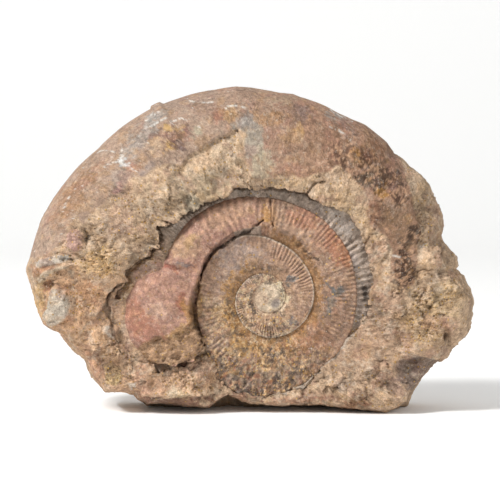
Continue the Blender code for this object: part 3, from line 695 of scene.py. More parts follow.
def stone_colours(points, right, up, skin, relief):
    """Linear colours of the block: placed stains, weathering, crust, lime, then painted shade in the
    hollows and painted light on the raised parts.

    Noise moves and frays the edges of what is placed, and keeps the front's stains off the back.
    """
    warp = [layered(points, 10.0, seed, 5, 0.68) * 3.0 for seed in (41, 47)]
    seen = smooth(9.0, -5.0, points[..., 1] + 3 * noise(points, 18.0, 77))
    fray = 0.34 * layered(points, 3.4, 69, 3, 0.8) + 3.0 * (1 - seen)
    turn = np.degrees(np.arctan2(up, right)) % 360
    reddish = np.where(turn < 112, smooth(112, 70, turn), 0)
    colour = placed_colours(points, right, up, skin, warp, fray, seen, reddish)
    colour = clouded(colour, points, skin, reddish)
    colour = crusted(colour, points, right, up, warp, fray, seen)
    specks = layered(points, 1.9, 67, 2, 0.8)
    colour = colour * (1 + 0.20 * specks)[..., None]
    colour = mix(colour, "#e8e0d2", chalky_share(points, right, up, skin, specks, warp, seen, turn))
    # Painted shade and light: the colour darkens where the relief is low and lightens where it is
    # high.
    painted_relief_shade = np.clip(relief * 0.10, -0.32, 0.14) * (1 - 0.3 * skin)
    return np.clip(colour * (1 + painted_relief_shade)[..., None], 0.01, 0.9)


# Stains, and painted shade in its hollows, on the whorl's keeled side: pixel, half sizes, turn,
# colour, strength.
VENTER_PATCHES = [
    # The dark patches at (365, 292), (361, 316) and (352, 240) are painted shade in hollows.
    (365, 292, 3, 8, 10, "#4b3f37", 0.9), (361, 316, 6, 3, 30, "#4f443c", 0.5),
    (352, 262, 6, 14, 10, "#c9b6a8", 0.6), (335, 228, 12, 6, -45, "#bca896", 0.6),
    (352, 240, 3, 3, 0, "#5a4c43", 0.8), (357, 304, 5, 6, 0, "#a8968a", 0.5),
    (318, 212, 8, 5, -20, "#8f7d70", 0.6), (200, 216, 16, 8, 40, "#b79d88", 0.5),
    (337, 213, 10, 8, -40, "#e6d4c2", 0.75), (347, 225, 9, 8, -50, "#e6d3c2", 0.75),
]


def groove_colours(colours, base, right, up, angle, rings, ribs):
    """Grey keeled side with pale wrinkles and painted light on its rib crests, the pale seam below it,
    and painted shade under the lip.
    """
    shift = [noise(base, 4.0, seed) * 1.2 for seed in (87, 89)]
    fray = 0.2 * layered(base, 3.0, 91, 3, 0.8)
    grey = paint(right, up, linear("#bfa995") + 0 * base, shift, fray, VENTER_PATCHES)
    # Random tone, and painted light: the grey is lighter on the rib crests and darker between them.
    grey = grey * (1 + 0.30 * layered(base, 4.0, 79, 4, 0.7) + 0.22 * ribs)[..., None]
    wrinkles = 0.4 * smooth(0.12, 0.0, np.abs(layered(base, 5.0, 263, 3, 0.6)))
    grey = mix(grey, "#e6d9cb", wrinkles)
    open_side = (groove_share(angle) * (rings < BOWL_RINGS + 1))[..., None]
    colours = colours * (1 - open_side) + grey * open_side
    seam_line = (rings >= BOWL_RINGS) * (rings < FACE_START + 2) * (1 - groove_share(angle))
    seam_line = 0.6 * seam_line * smooth(262, 285, angle) * (angle < 338)
    colours = mix(colours, "#cdbdaa", seam_line)
    # Painted shade under the lip's overhang.
    under_lip = (rings > BOWL_RINGS) * smooth(FACE_START + 1, BOWL_RINGS + 1, rings)
    return colours * (1 - 0.45 * under_lip * groove_share(angle))[..., None]


# Fields where the rusty grains crowd, as ovals in pixels with the share of cells that hold one.
GRAIN_FIELDS = [
    (100, 262, 22, 16, 0, 0.8), (85, 300, 22, 16, 20, 0.6), (112, 376, 10, 12, 0, 0.75),
    (182, 384, 20, 10, 0, 0.6), (425, 318, 22, 28, 0, 0.7), (350, 208, 20, 10, -30, 0.5),
    (448, 300, 12, 20, 0, 0.5), (140, 250, 20, 14, 0, 0.5), (265, 180, 40, 7, 0, 0.4),
]


def grain_share(base, right, up, skin, warp):
    """Share of cells with a rusty grain: some all over the break, many in the fields, few on skin."""
    grainy = (1 - skin) * (0.12 + 0.3 * smooth(-0.2, 0.6, noise(base, 22.0, 83)))
    for x, y, half_x, half_y, turn, amount in GRAIN_FIELDS:
        spot = (x, y, half_x, half_y, turn)
        field = smooth(1.2, 0.7, blob(right + 2 * warp[0], up + 2 * warp[1], spot))
        grainy = np.maximum(grainy, amount * field * (1 - skin))
    return grainy


def node(tree, kind, inputs=None, **settings):
    """Add one shader node with its settings, plain input values and links."""
    made = tree.nodes.new(kind)
    for key, value in settings.items():
        setattr(made, key, value)
    for key, value in (inputs or {}).items():
        if isinstance(value, bpy.types.NodeSocket):
            tree.links.new(value, made.inputs[key])
        else:
            made.inputs[key].default_value = value
    return made


# The stains were read under studio light; the stone's own colour is this share of them.
OWN_SHARE = (0.80, 0.82, 0.86)
# Patterns, as cells or waves to a metre: crumbs 3 mm across, rusty grains 1.4 mm across in cells of
# 2.3 mm, holes 1.2 mm across in cells of 2.4 mm, calcite flecks of 2 mm, and hairline veins about
# 17 mm apart.  The real tooth is finer than the 0.72 mm of a photo pixel, and is drawn at 1 mm.
TOOTH = 1000.0
CRUMBS = 330.0
GRAINS = 430.0
HOLES = 410.0
FLECKS = 480.0
VEINS = 60.0


def rusty_grains(tree, spot, grainy, strength):
    """Cover and colour of the rounded grains: cores of those cells that the grainy share draws."""
    grains = node(tree, "ShaderNodeTexVoronoi", {"Vector": spot, "Scale": GRAINS})
    core = node(tree, "ShaderNodeMapRange", {"Value": grains.outputs["Distance"], "From Min": 0.22,
                                             "From Max": 0.36, "To Min": 1.0, "To Max": 0.0})
    pick = node(tree, "ShaderNodeSeparateColor", {"Color": grains.outputs["Color"]})
    chosen = node(tree, "ShaderNodeMath", {0: pick.outputs["Red"], 1: grainy}, operation="LESS_THAN")
    cover = node(tree, "ShaderNodeMath", {0: core.outputs["Result"], 1: chosen.outputs[0]},
                 operation="MULTIPLY")
    cover = node(tree, "ShaderNodeMath", {0: cover.outputs[0], 1: strength}, operation="MULTIPLY")
    rust = node(tree, "ShaderNodeMix", {"Factor": pick.outputs["Green"],
                                        "A": (*linear("#8a6330"), 1), "B": (*linear("#d9ad60"), 1)},
                data_type="RGBA")
    return cover.outputs[0], rust.outputs["Result"]


def grain_holes(tree, spot, grainy):
    """Round holes that lost grains have left, drawn where many grains lie."""
    holes = node(tree, "ShaderNodeTexVoronoi", {"Vector": spot, "Scale": HOLES})
    hole = node(tree, "ShaderNodeMapRange", {"Value": holes.outputs["Distance"], "From Min": 0.16,
                                             "From Max": 0.34, "To Min": 1.0, "To Max": 0.0})
    drawn = node(tree, "ShaderNodeSeparateColor", {"Color": holes.outputs["Color"]})
    few = node(tree, "ShaderNodeMath", {0: grainy, 1: 0.9, 2: -0.32}, operation="MULTIPLY_ADD")
    open_hole = node(tree, "ShaderNodeMath", {0: drawn.outputs["Red"], 1: few.outputs[0]},
                     operation="LESS_THAN")
    hole = node(tree, "ShaderNodeMath", {0: hole.outputs["Result"], 1: open_hole.outputs[0]},
                operation="MULTIPLY")
    return hole.outputs[0]


def white_calcite(tree, spot, shade):
    """Cover of white calcite: small flecks, and hairline veins where the crumbs are light."""
    fleck = node(tree, "ShaderNodeTexNoise", {"Vector": spot, "Scale": FLECKS, "Detail": 5.0,
                                              "Roughness": 0.8})
    white = node(tree, "ShaderNodeMapRange", {"Value": fleck.outputs["Fac"], "From Min": 0.61,
                                              "From Max": 0.68, "To Min": 0.0, "To Max": 0.6})
    vein = node(tree, "ShaderNodeTexNoise", {"Vector": spot, "Scale": VEINS, "Detail": 6.0,
                                             "Roughness": 0.7})
    off_vein = node(tree, "ShaderNodeMath", {0: vein.outputs["Fac"], 1: 0.5}, operation="SUBTRACT")
    off_vein = node(tree, "ShaderNodeMath", {0: off_vein.outputs[0]}, operation="ABSOLUTE")
    hairline = node(tree, "ShaderNodeMapRange", {"Value": off_vein.outputs[0], "From Min": 0.002,
                                                 "From Max": 0.006, "To Min": 1.0, "To Max": 0.0})
    patchy = node(tree, "ShaderNodeMapRange", {"Value": shade, "From Min": 0.9, "From Max": 1.05,
                                               "To Min": 0.0, "To Max": 0.4})
    hairline = node(tree, "ShaderNodeMath", {0: hairline.outputs["Result"],
                                             1: patchy.outputs["Result"]}, operation="MULTIPLY")
    cover = node(tree, "ShaderNodeMath", {0: hairline.outputs[0], 1: white.outputs["Result"]},
                 operation="MAXIMUM")
    return cover.outputs[0]


def limestone(name, grain_strength, bump_mm):
    """Ironshot limestone, as broken or as bared by weather: dull all over, with no polish.

    The stored colours, stains with their painted light and shade, give the broad colour.  Noise
    shades them in crumbs and fine tooth, and over them lie rusty grains, the brown holes of lost
    ones, and white calcite; all but the calcite are also height for the bump.
    """
    material = bpy.data.materials.new(name)
    material.use_nodes = True
    tree = material.node_tree
    tree.nodes.clear()
    spot = node(tree, "ShaderNodeTexCoord").outputs["Object"]
    # Stored colour: stains with painted light and shade.
    stain_and_painted_light = node(tree, "ShaderNodeAttribute", attribute_name="stain_and_painted_light").outputs["Color"]
    grainy = node(tree, "ShaderNodeAttribute", attribute_name="grainy").outputs["Fac"]

    tooth = node(tree, "ShaderNodeTexNoise", {"Vector": spot, "Scale": TOOTH, "Detail": 5.0,
                                              "Roughness": 0.75})
    crumb = node(tree, "ShaderNodeTexNoise", {"Vector": spot, "Scale": CRUMBS, "Detail": 5.0,
                                              "Roughness": 0.62, "Distortion": 0.4})
    swing = node(tree, "ShaderNodeMath", {0: tooth.outputs["Fac"], 1: 0.5}, operation="SUBTRACT")
    reach = node(tree, "ShaderNodeMath", {0: grainy, 1: 1.8, 2: 1.9}, operation="MULTIPLY_ADD")
    tone = node(tree, "ShaderNodeMath", {0: swing.outputs[0], 1: reach.outputs[0], 2: 1.0},
                operation="MULTIPLY_ADD")
    shade = node(tree, "ShaderNodeMapRange", {"Value": crumb.outputs["Fac"], "From Min": 0.32,
                                              "From Max": 0.62, "To Min": 0.72, "To Max": 1.12})
    toned = node(tree, "ShaderNodeVectorMath", {0: stain_and_painted_light, 1: tone.outputs[0]},
                 operation="MULTIPLY")
    toned = node(tree, "ShaderNodeVectorMath", {0: toned.outputs[0], 1: shade.outputs["Result"]},
                 operation="MULTIPLY")
    toned = node(tree, "ShaderNodeVectorMath", {0: toned.outputs[0], 1: OWN_SHARE},
                 operation="MULTIPLY")

    cover, rust = rusty_grains(tree, spot, grainy, grain_strength)
    hole = grain_holes(tree, spot, grainy)
    lime = white_calcite(tree, spot, shade.outputs["Result"])
    rusty = node(tree, "ShaderNodeMix", {"Factor": cover, "A": toned.outputs[0], "B": rust},
                 data_type="RGBA")
    pitted = node(tree, "ShaderNodeMix", {"Factor": hole, "A": rusty.outputs["Result"],
                                          "B": (*linear("#6f5239"), 1)}, data_type="RGBA")
    flecked = node(tree, "ShaderNodeMix", {"Factor": lime, "A": pitted.outputs["Result"],
                                           "B": (*linear("#ddd2c2"), 1)}, data_type="RGBA")

    coarse = node(tree, "ShaderNodeMath", {0: crumb.outputs["Fac"], 1: 1.6}, operation="MULTIPLY")
    height = node(tree, "ShaderNodeMath", {0: tooth.outputs["Fac"], 1: coarse.outputs[0]},
                  operation="ADD")
    height = node(tree, "ShaderNodeMath", {0: height.outputs[0], 1: cover}, operation="ADD")
    height = node(tree, "ShaderNodeMath", {0: height.outputs[0], 1: hole}, operation="SUBTRACT")
    bump = node(tree, "ShaderNodeBump", {"Height": height.outputs[0], "Strength": 1.0,
                                         "Distance": bump_mm * MM})
    shader = node(tree, "ShaderNodeBsdfPrincipled",
                  {"Base Color": flecked.outputs["Result"], "Roughness": 0.82,
                   "Specular IOR Level": 0.3, "Normal": bump.outputs["Normal"]})
    node(tree, "ShaderNodeOutputMaterial", {"Surface": shader.outputs["BSDF"]})
    return material


def closed_surface(name, rings, normals=None):
    """Mesh from rings of points, each ring closed, with its middle point at either end.

    Given directions of the rings' points make two pieces of one surface meet without a line.
    """
    count, around = rings.shape[:2]
    middles = [rings[0].mean(axis=0), rings[-1].mean(axis=0)]
    points = np.concatenate([rings.reshape(-1, 3), middles])
    ring, spot = np.meshgrid(np.arange(count - 1), np.arange(around), indexing="ij")
    after = (spot + 1) % around
    quads = np.stack([ring * around + spot, (ring + 1) * around + spot,
                      (ring + 1) * around + after, ring * around + after], axis=-1).reshape(-1, 4)
    spots = np.arange(around)
    first, last = count * around, count * around + 1
    top = np.stack([np.full(around, first), spots, (spots + 1) % around], axis=-1)
    base = (count - 1) * around
    end = np.stack([np.full(around, last), base + (spots + 1) % around, base + spots], axis=-1)
    corners = np.concatenate([quads.ravel(), top.ravel(), end.ravel()])
    sizes = np.concatenate([np.full(len(quads), 4), np.full(2 * around, 3)])
    mesh = bpy.data.meshes.new(name)
    mesh.vertices.add(len(points))
    mesh.vertices.foreach_set("co", points.astype(np.float32).ravel())
    mesh.loops.add(len(corners))
    mesh.loops.foreach_set("vertex_index", corners.astype(np.int32))
    mesh.polygons.add(len(sizes))
    mesh.polygons.foreach_set("loop_start", (np.cumsum(sizes) - sizes).astype(np.int32))
    mesh.update(calc_edges=True)
    mesh.validate()
    mesh.shade_smooth()
    if normals is not None:
        whole = np.concatenate([normals.reshape(-1, 3), normals[0, :1], normals[-1, :1]])
        mesh.normals_split_custom_set_from_vertices(whole.tolist())
    piece = bpy.data.objects.new(name, mesh)
    bpy.context.scene.collection.objects.link(piece)
    return piece


def write_colour(piece, name, values):
    """Store one linear colour for each vertex, with the two closing points like their rings."""
    whole = np.concatenate([values.reshape(-1, 3), values.reshape(-1, 3)[[0, -1]]])
    whole = np.concatenate([whole, np.ones((len(whole), 1))], axis=1)
    layer = piece.data.attributes.new(name, "FLOAT_COLOR", "POINT")
    layer.data.foreach_set("color", whole.astype(np.float32).ravel())


def write_value(piece, name, values):
    """Store one number for each vertex, with the two closing points like their rings."""
    whole = np.concatenate([values.ravel(), values.ravel()[[0, -1]]])
    layer = piece.data.attributes.new(name, "FLOAT", "POINT")
    layer.data.foreach_set("value", whole.astype(np.float32))


def finish_piece(piece, colours, grainy, material):
    """Store a piece's stains with their painted light and shade, and its grains, and tie it to the
    stone's body in place of the solid.
    """
    # The stored colour holds stains with painted light and shade.
    write_colour(piece, "stain_and_painted_light", colours)
    write_value(piece, "grainy", grainy)
    piece.data.materials.append(material)
    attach(piece, "root")
    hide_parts("ammonite_fossil")


def make_stone():
    """The block: relief laid along the even surface's outward direction, parted behind the rim.

    Both pieces take their directions from the whole surface, so that they meet without a line.
    The back starts a little under the front's edge and has every second point round it.
    """
    angle, radius, depth, rim = stone_grid()
    right = radius * np.cos(np.radians(angle))
    up = radius * np.sin(np.radians(angle))
    rings = np.arange(len(radius))[:, None] + 0 * radius
    base = place(right, up, -depth) / MM
    normal = outward(base)
    warp = [noise(base, 5.0, 71) * 1.3, noise(base, 5.0, 73) * 1.3]
    skin = skin_share(base, right, up, angle, radius / rim, rings, warp)
    relief = stone_relief(base, right, up, rim - radius, rings, skin, warp)
    calm = np.where(rings < BOWL_RINGS, 0.45, 1.0) * smooth(-1, 4, rings)
    calm = calm * (0.45 + 0.55 * smooth(1, 10, rim - radius))
    ribs = venter_band(base, angle, rings)
    shaped = base + normal * (relief * calm + ribs)[..., None]
    shaped = set_down(shaped, angle, radius, depth, rim)
    facing = outward(shaped)
    colours = stone_colours(base, right, up, skin, relief)
    colours = groove_colours(colours, base, right, up, angle, rings, ribs)
    grainy = grain_share(base, right, up, skin, warp)

    material = limestone("ironshot_limestone", 0.8, 0.9)
    split = FACE_END + BACK_FROM
    front = closed_surface("limestone_front", shaped[:split] * MM, facing[:split])
    finish_piece(front, colours[:split], grainy[:split], material)
    tuck = shaped[split - 2:split - 1] - normal[split - 2:split - 1] * TUCK
    tuck[..., 2] = np.maximum(tuck[..., 2], 0.0)
    rear = np.concatenate([tuck, shaped[split - 1:]])[:, ::2]
    back = closed_surface("limestone_back", rear * MM, facing[split - 2:, ::2])
    finish_piece(back, colours[split - 2:, ::2], grainy[split - 2:, ::2], material)


make_stone()


# The coil: the ribbed inner whorls and the redder last one, casts in finer limestone than the
# block's, bared when the rock above broke away.  It is one strip that winds along the seam, each
# turn lapping the one inside it, and closed underneath inside the block.

# The seam between whorls as (turn in degrees, radius in mm), its depth, and how far the whorl's
# crest stands above it.  A turn 360 degrees on reads the next seam out.
SEAM = [
    (-717, 0.004), (-346, 0.01), (-340, 4.3), (-177, 7.7), (-75, 10.2), (12, 14.7), (64, 17.5),
    (94, 18.6), (126, 19.4), (150, 20.2), (174, 21.7), (214, 23.5), (237, 25.3), (256, 26.5),
    (275, 28.2), (293, 29.2), (312, 30.5), (330, 32.3), (346, 33.5), (363, 35.1), (401, 37.7),
    (427, 40.7), (440, 42.6), (452, 45.6), (470, 49.4), (492, 50.0), (515, 50.0), (544, 50.4),
    (563, 52.4), (577, 54.4), (588, 60.8), (599, 67.8), (614, 70.8), (629, 71.0), (653, 66.5),
    (670, 63.8), (686, 64.8), (700, 66.0), (713, 65.8), (735, 66.8), (749, 69.1), (762, 69.8),
    (772, 71.0), (790, 71.3), (808, 73.4), (824, 76.2), (844, 78.2), (854, 79.2), (865, 78.8),
    (877, 77.8), (884, 79.5), (890, 92.0), (894, 96.3), (905, 102.5), (917, 105.0), (928, 104.0),
    (942, 97.0),
]
SEAM_LEVEL = [
    (-717, 25.5), (-346, 25.5), (-340, 24.2), (180, 25), (360, 27), (440, 28), (577, 28),
    (600, 24), (640, 22), (680, 24), (720, 28), (800, 30), (886, 31), (897, 29), (940, 27),
]
CREST_RISE = [
    (-717, 0.3), (-357, 1.2), (60, 3.0), (200, 4.5), (300, 6.0), (400, 6.5), (452, 8.0),
    (470, 9.5), (520, 13.5), (582, 14.5),
]
# Ribs to a turn, the ribs' height in mm, and the ragged inner edge of the last piece as a share
# of the whorl's width, each by turn.
RIBS_PER_TURN = [(-717, 50), (0, 84), (270, 92), (400, 138), (440, 108), (473, 78), (582, 60)]
RIB_HEIGHT = [
    (-717, 0.05), (-357, 0.12), (-200, 0.25), (-130, 0.42), (-80, 0.42), (-50, 0.15), (-20, 0.1),
    (5, 0.18), (20, 0.35), (34, 0.62), (64, 0.62), (82, 0.35), (105, 0.1), (150, 0.1), (190, 0.3),
    (250, 0.55), (290, 0.2), (325, 0.25), (345, 0.5), (380, 0.6), (400, 0.4), (440, 0.4),
    (470, 0.4), (500, 0.3), (530, 0.1), (582, 0.1),
]
EDGE_SHARE = [
    (452, 0.22), (462, 0.12), (474, 0.05), (500, 0.02), (520, 0.0), (540, 0.05), (552, 0.08),
    (562, 0.05), (574, 0.0),
]
# Points along and across the strip, its start and end in degrees, and steps of the path between.
STRIP_ROWS = 1560
STRIP_COLUMNS = 56
STRIP_START = -700.0
STRIP_END = 582.0
PATH_STEPS = 6000
# Depth of the underside, how far a turn laps the one inside it, and how far its tucked inner edge
# lies behind the seam, all in mm.
UNDERSIDE = 8.0
LAP = 3.0
TUCKED_DROP = 2.5

# The torn lower end of the last piece, where its skin is gone and tan layers show, in pixels.
TORN_END = [
    (136, 352), (144, 343), (156, 336), (168, 339), (178, 332), (188, 326), (197, 317), (203, 330),
    (208, 346), (196, 360), (170, 368), (146, 368),
]
# Steps, cracks and the crevice beside the last piece, as on the block.
COIL_LEDGES = [
    ([(156, 262), (170, 263), (180, 263), (197, 267)], 3.4, 7.0, 0.4),
    ([(148, 275), (157, 271), (161, 276), (158, 283)], 1.2, 3.0, 0.4),
    ([(196, 317), (188, 326), (178, 332), (168, 339), (156, 336), (144, 343)], -2.4, 6.0, 0.5),
]
COIL_CRACKS = [
    ([(269, 190), (270, 200), (272, 208), (271, 220), (274, 228)], 0.5, 2.4),
    ([(205, 244), (209, 247), (214, 251)], 0.4, 1.5),
    ([(148, 268), (156, 270), (161, 274), (160, 282)], 0.5, 1.2),
    ([(163, 270), (172, 269), (180, 271)], 0.6, 0.8),
    ([(262, 236), (267, 228), (272, 224), (276, 229)], 0.6, 1.5),
]
CREVICE = [
    (263, 221), (247, 231), (232, 239), (222, 246), (213, 252), (207, 262), (202, 272), (198, 287),
    (196, 301), (194, 312), (195, 322), (199, 335), (204, 347),
]
# Knobs, pits and swells: pixel, half sizes in pixels, turn in degrees, rise in mm.
COIL_BUMPS = [
    (216, 243, 2.2, 2.2, 0, 0.9), (214, 238, 2.0, 2.0, 0, 0.8), (209, 253, 2.2, 2.2, 0, 0.9),
    (222, 234, 2.2, 2.2, 0, 0.7), (171, 266, 9, 1.6, 0, 0.8), (160, 310, 20, 26, 0, 2.2),
    (268, 232, 9, 7, 30, 1.6), (300, 245, 3.0, 3.4, 0, -2.4), (313, 257, 3.2, 3.0, 0, -2.4),
    (294, 240, 3.0, 2.6, 0, -2.0), (306, 251, 2.6, 2.6, 0, -1.8), (298, 240, 3.0, 2.4, 0, 1.4),
    (309, 253, 3.0, 2.4, 0, 1.4), (303, 248, 2.6, 2.2, 0, 1.2), (318, 263, 3.0, 2.6, 0, 1.2),
    (276, 303, 6, 5, 40, -1.0),
    (270, 299, 12, 12, 0, 1.8), (245, 384, 5, 4, 0, -1.6), (256, 392, 5, 3, 0, -1.6),
    (236, 376, 4, 3, 0, -1.4), (250, 377, 3, 3, 0, -1.2), (270, 214, 5, 12, 0, 0.8),
]
# Stains, with some painted highlights and painted shade among them: pixel, half sizes in pixels, turn,
# colour, strength.
COIL_PATCHES = [
    (262, 300, 34, 34, 0, "#ac8d6d", 0.5), (270, 298, 16, 16, 0, "#ddc6a8", 0.95),
    (276, 303, 6, 4, 40, "#a3958a", 0.8), (262, 299, 7, 8, 0, "#bf9f80", 0.6),
    # The two bright crescents beside the centre disc are painted highlights.
    (282, 288, 3, 6, 40, "#efdcb8", 0.8), (285, 297, 2.5, 6, 0, "#ecd6ae", 0.8),
    (265, 218, 5, 8, 0, "#c28c4b", 0.7), (250, 212, 4, 4, 0, "#c09a6a", 0.6),
    (160, 312, 12, 11, 0, "#cca58e", 0.75), (183, 303, 6, 12, 0, "#a5664f", 0.75),
    (136, 316, 12, 20, 20, "#b0785f", 0.7), (150, 290, 16, 10, 0, "#ba8c78", 0.4),
    (190, 316, 6, 16, 10, "#b5854a", 0.7), (176, 334, 14, 6, 10, "#b98f5a", 0.7),
    (150, 335, 20, 9, -10, "#ad7660", 0.7), (197, 300, 4, 30, 0, "#a87f4a", 0.5),
    (185, 264, 7, 2, 0, "#8b8583", 0.6), (170, 268, 12, 3, 0, "#a0523f", 0.6),
    (160, 280, 14, 6, 0, "#b08573", 0.4), (185, 245, 18, 12, 0, "#c8a380", 0.6),
    (190, 240, 6, 6, 0, "#c09a66", 0.5), (225, 215, 32, 14, 25, "#c79e80", 0.65),
    (305, 216, 18, 14, -20, "#b37e64", 0.65), (338, 244, 14, 24, 20, "#b07252", 0.7),
    (325, 240, 14, 14, 0, "#ab7c64", 0.5), (240, 262, 26, 24, 0, "#ab978b", 0.7),
    (222, 300, 12, 24, 0, "#a58a78", 0.5), (214, 332, 12, 30, 0, "#b08b6e", 0.5),
    (215, 350, 12, 16, 0, "#8b776c", 0.5), (230, 372, 16, 12, 0, "#8a7768", 0.7),
    (270, 375, 34, 14, 0, "#8f7a68", 0.7), (250, 392, 16, 7, 0, "#857b73", 0.7),
    (300, 345, 20, 12, 20, "#a8744f", 0.6), (275, 352, 16, 8, 0, "#8f7a6b", 0.5),
    (320, 338, 14, 16, 0, "#9b6d52", 0.6), (334, 308, 15, 28, 0, "#896a56", 0.65),
    (270, 365, 18, 6, 0, "#a9824f", 0.4),
    (240, 330, 10, 12, 0, "#b08a55", 0.5), (222, 312, 10, 14, 0, "#b08f62", 0.5),
    (242, 348, 14, 8, 0, "#b2905e", 0.5), (310, 320, 10, 6, 0, "#b0804e", 0.4),
    # The four dark patches on the knob pits are painted shade.
    (300, 246, 2.6, 3, 0, "#57463a", 0.8), (314, 258, 2.8, 2.6, 0, "#57463a", 0.8),
    (294, 241, 2.4, 2.2, 0, "#604c3e", 0.7), (306, 252, 2.2, 2.2, 0, "#604c3e", 0.7),
    (270, 212, 4, 14, 0, "#b98b5c", 0.4), (291, 281, 5, 4, 20, "#686662", 0.9),
    (294, 323, 5, 4, 0, "#737275", 0.75), (336, 293, 9, 7, -20, "#67645f", 0.9),
    (328, 287, 6, 2, -40, "#6f6f6c", 0.85), (331, 307, 5, 9, 15, "#736d66", 0.8),
]


def strip_path():
    """Angles of the strip's rows, closer in angle where the coil is wider, and rib phase."""
    fine = np.linspace(STRIP_START, STRIP_END, PATH_STEPS)
    pace = read_table(SEAM, fine + 360) ** 0.8
    travelled = np.concatenate([[0], np.cumsum(pace)[:-1]])
    turn = np.interp(np.linspace(0, travelled[-1], STRIP_ROWS), travelled, fine)
    phase = np.cumsum(read_table(RIBS_PER_TURN, fine)) * (fine[1] - fine[0]) / 360.0
    return turn, np.interp(turn, fine, phase)


def broken_side(share, turn, ragged):
    """0 on the floor beside the last piece of whorl and 1 on it, past its ragged inner edge."""
    return smooth(0.0, 0.05, share + ragged - read_table(EDGE_SHARE, turn))


def profile(share, turn, ragged):
    """Section of a whorl from its inner seam (0) to its outer edge (1), as a share of the crest.

    Steep from the low seam, flat over the flank, and a short fall at the keel; the last piece of
    whorl stands on a ragged broken edge instead.
    """
    whorl = smooth(0, 0.34, share) * (1 - 0.3 * smooth(0.72, 0.97, share))
    in_rock = smooth(205, 225, turn) * smooth(345, 325, turn)
    whorl = whorl * (1 - (1 - 0.8 * in_rock) * smooth(0.965, 1.0, share))
    edge = broken_side(share, turn, ragged)
    round_back = 1 - np.abs(np.clip(2 * share - 1, 0, 1)) ** 4.5
    low = 0.86 + 0.14 * smooth(0, 0.4, share)
    last = edge * round_back * low
    blend = smooth(446, 456, turn)
    return whorl * (1 - blend) + last * blend


def coil_shape():
    """Rows of the strip: turn, share across, radius, angle and depth before the small relief."""
    turn, phase = strip_path()
    share = np.linspace(0.0, 1.0, STRIP_COLUMNS)[None, :] ** 0.92
    turn = turn[:, None]
    inner, outer = read_table(SEAM, turn), read_table(SEAM, turn + 360)
    slant = 15.0 * share * np.clip((turn - 530) / 50.0, 0, 1)
    radius = inner + share * (outer - inner)
    spread = np.stack([turn * 0.5, 0 * turn, 0 * turn], axis=-1)
    torn_end = np.stack([40 * share, 0 * share, 0 * share], axis=-1)
    slant = slant - 3.5 * layered(torn_end, 12.0, 163, 3) * smooth(560, 582, turn)
    angle = np.radians(turn - slant)
    ragged = 0.035 * layered(spread, 9.0, 167, 4, 0.7) * smooth(450, 470, turn)
    level = (1 - share) * read_table(SEAM_LEVEL, turn) + share * read_table(SEAM_LEVEL, turn + 360)
    depth = level + profile(share, turn, ragged) * read_table(CREST_RISE, turn)
    foot = (1 - broken_side(share, turn, ragged - 0.02)) * smooth(452, 456, turn)
    return turn, phase, share, inner, outer, radius, angle, depth, foot


def coil_ribs(turn, phase, share, flat, bottom):
    """Ribs as a sine of the phase along the spiral, and their height in mm.

    Crisp on the outer half of the inner whorl, where knobs of twice the spacing stand nearer the
    seam; soft on the outer whorl; worn away in patches.
    """
    lean = phase[:, None] + 0.35 * share ** 2
    wobble = 0.18 * noise(flat, 12.0, 101) + 0.12 * noise(flat, 4.0, 105)
    fine = np.sin((lean + wobble) * 2 * math.pi)
    wide = np.sin((lean + wobble) * math.pi)
    outer_half = smooth(0.42, 0.62, share)
    early = smooth(446, 436, turn)
    ribs = fine * (1 - early) + early * (outer_half * fine + (1 - outer_half) * 0.8 * wide)
    worn = smooth(-0.6, 0.4, noise(flat, 11.0, 103) + 0.5 * noise(flat, 4.0, 104))
    worn = 0.25 + 0.75 * worn
    inner_fade = 1 - early * 0.8 * smooth(0.48, 0.28, share)
    height = read_table(RIB_HEIGHT, turn) * worn * inner_fade * smooth(0.03, 0.15, share)
    return ribs, height * (1 - 0.55 * bottom)


def coil_fields():
    """Places of the strip's points, its ribs, and shares that say where it is worn or coloured."""
    turn, phase, share, inner, outer, radius, angle, depth, foot = coil_shape()
    right, up = radius * np.cos(angle), radius * np.sin(angle)
    flat = np.stack([right, 0 * right, up], axis=-1)
    coil = SimpleNamespace(turn=turn, share=share, inner=inner, outer=outer, radius=radius,
                           angle=angle, depth=depth, foot=foot, right=right, up=up, flat=flat)
    early = smooth(446, 436, turn)
    coil.last = turn > 450
    coil.bottom = smooth(-28, -56, up) * early * smooth(200, 240, turn)
    coil.lower_left = early * smooth(150, 200, turn) * smooth(340, 280, turn)
    coil.first = smooth(-20, -60, turn) * smooth(9, 12, radius)
    coil.knobs = smooth(0.42, 0.2, share) * smooth(0.03, 0.12, share) * early
    coil.ribs, coil.rib_height = coil_ribs(turn, phase, share, flat, coil.bottom)

    coil.warp = [noise(flat, 6.0, 107) * 1.2, noise(flat, 6.0, 109) * 1.2]
    coil.grain = layered(flat, 3.2, 113, 3, 0.65)
    spots, value = cells(flat, 2.6, 127)
    coil.pits = -smooth(0.55, 0.15, spots) * (value > 0.68)
    coil.crowd = smooth(-0.2, 0.5, layered(flat, 14.0, 241, 3, 0.7))
    torn = within(right + coil.warp[0], up + coil.warp[1], TORN_END)
    coil.torn = smooth(-0.6, 1.0, torn) * coil.last
    weathered = 0.22 + 0.9 * coil.bottom + 0.55 * coil.knobs
    weathered = weathered + 0.4 * smooth(0.1, 0.8, noise(flat, 14.0, 131))
    coil.weathered = weathered * (1 - 0.55 * coil.last) + 0.9 * coil.torn
    gap = path_distance(right + 0.7 * coil.warp[0], up + 0.7 * coil.warp[1], CREVICE)[0]
    gap = gap + 0.5 * layered(flat, 4.0, 239, 3, 0.7)
    coil.gap = gap + 0.4 * smooth(206, 196, right / PIXEL + COIL_PIXEL[0])
    return coil


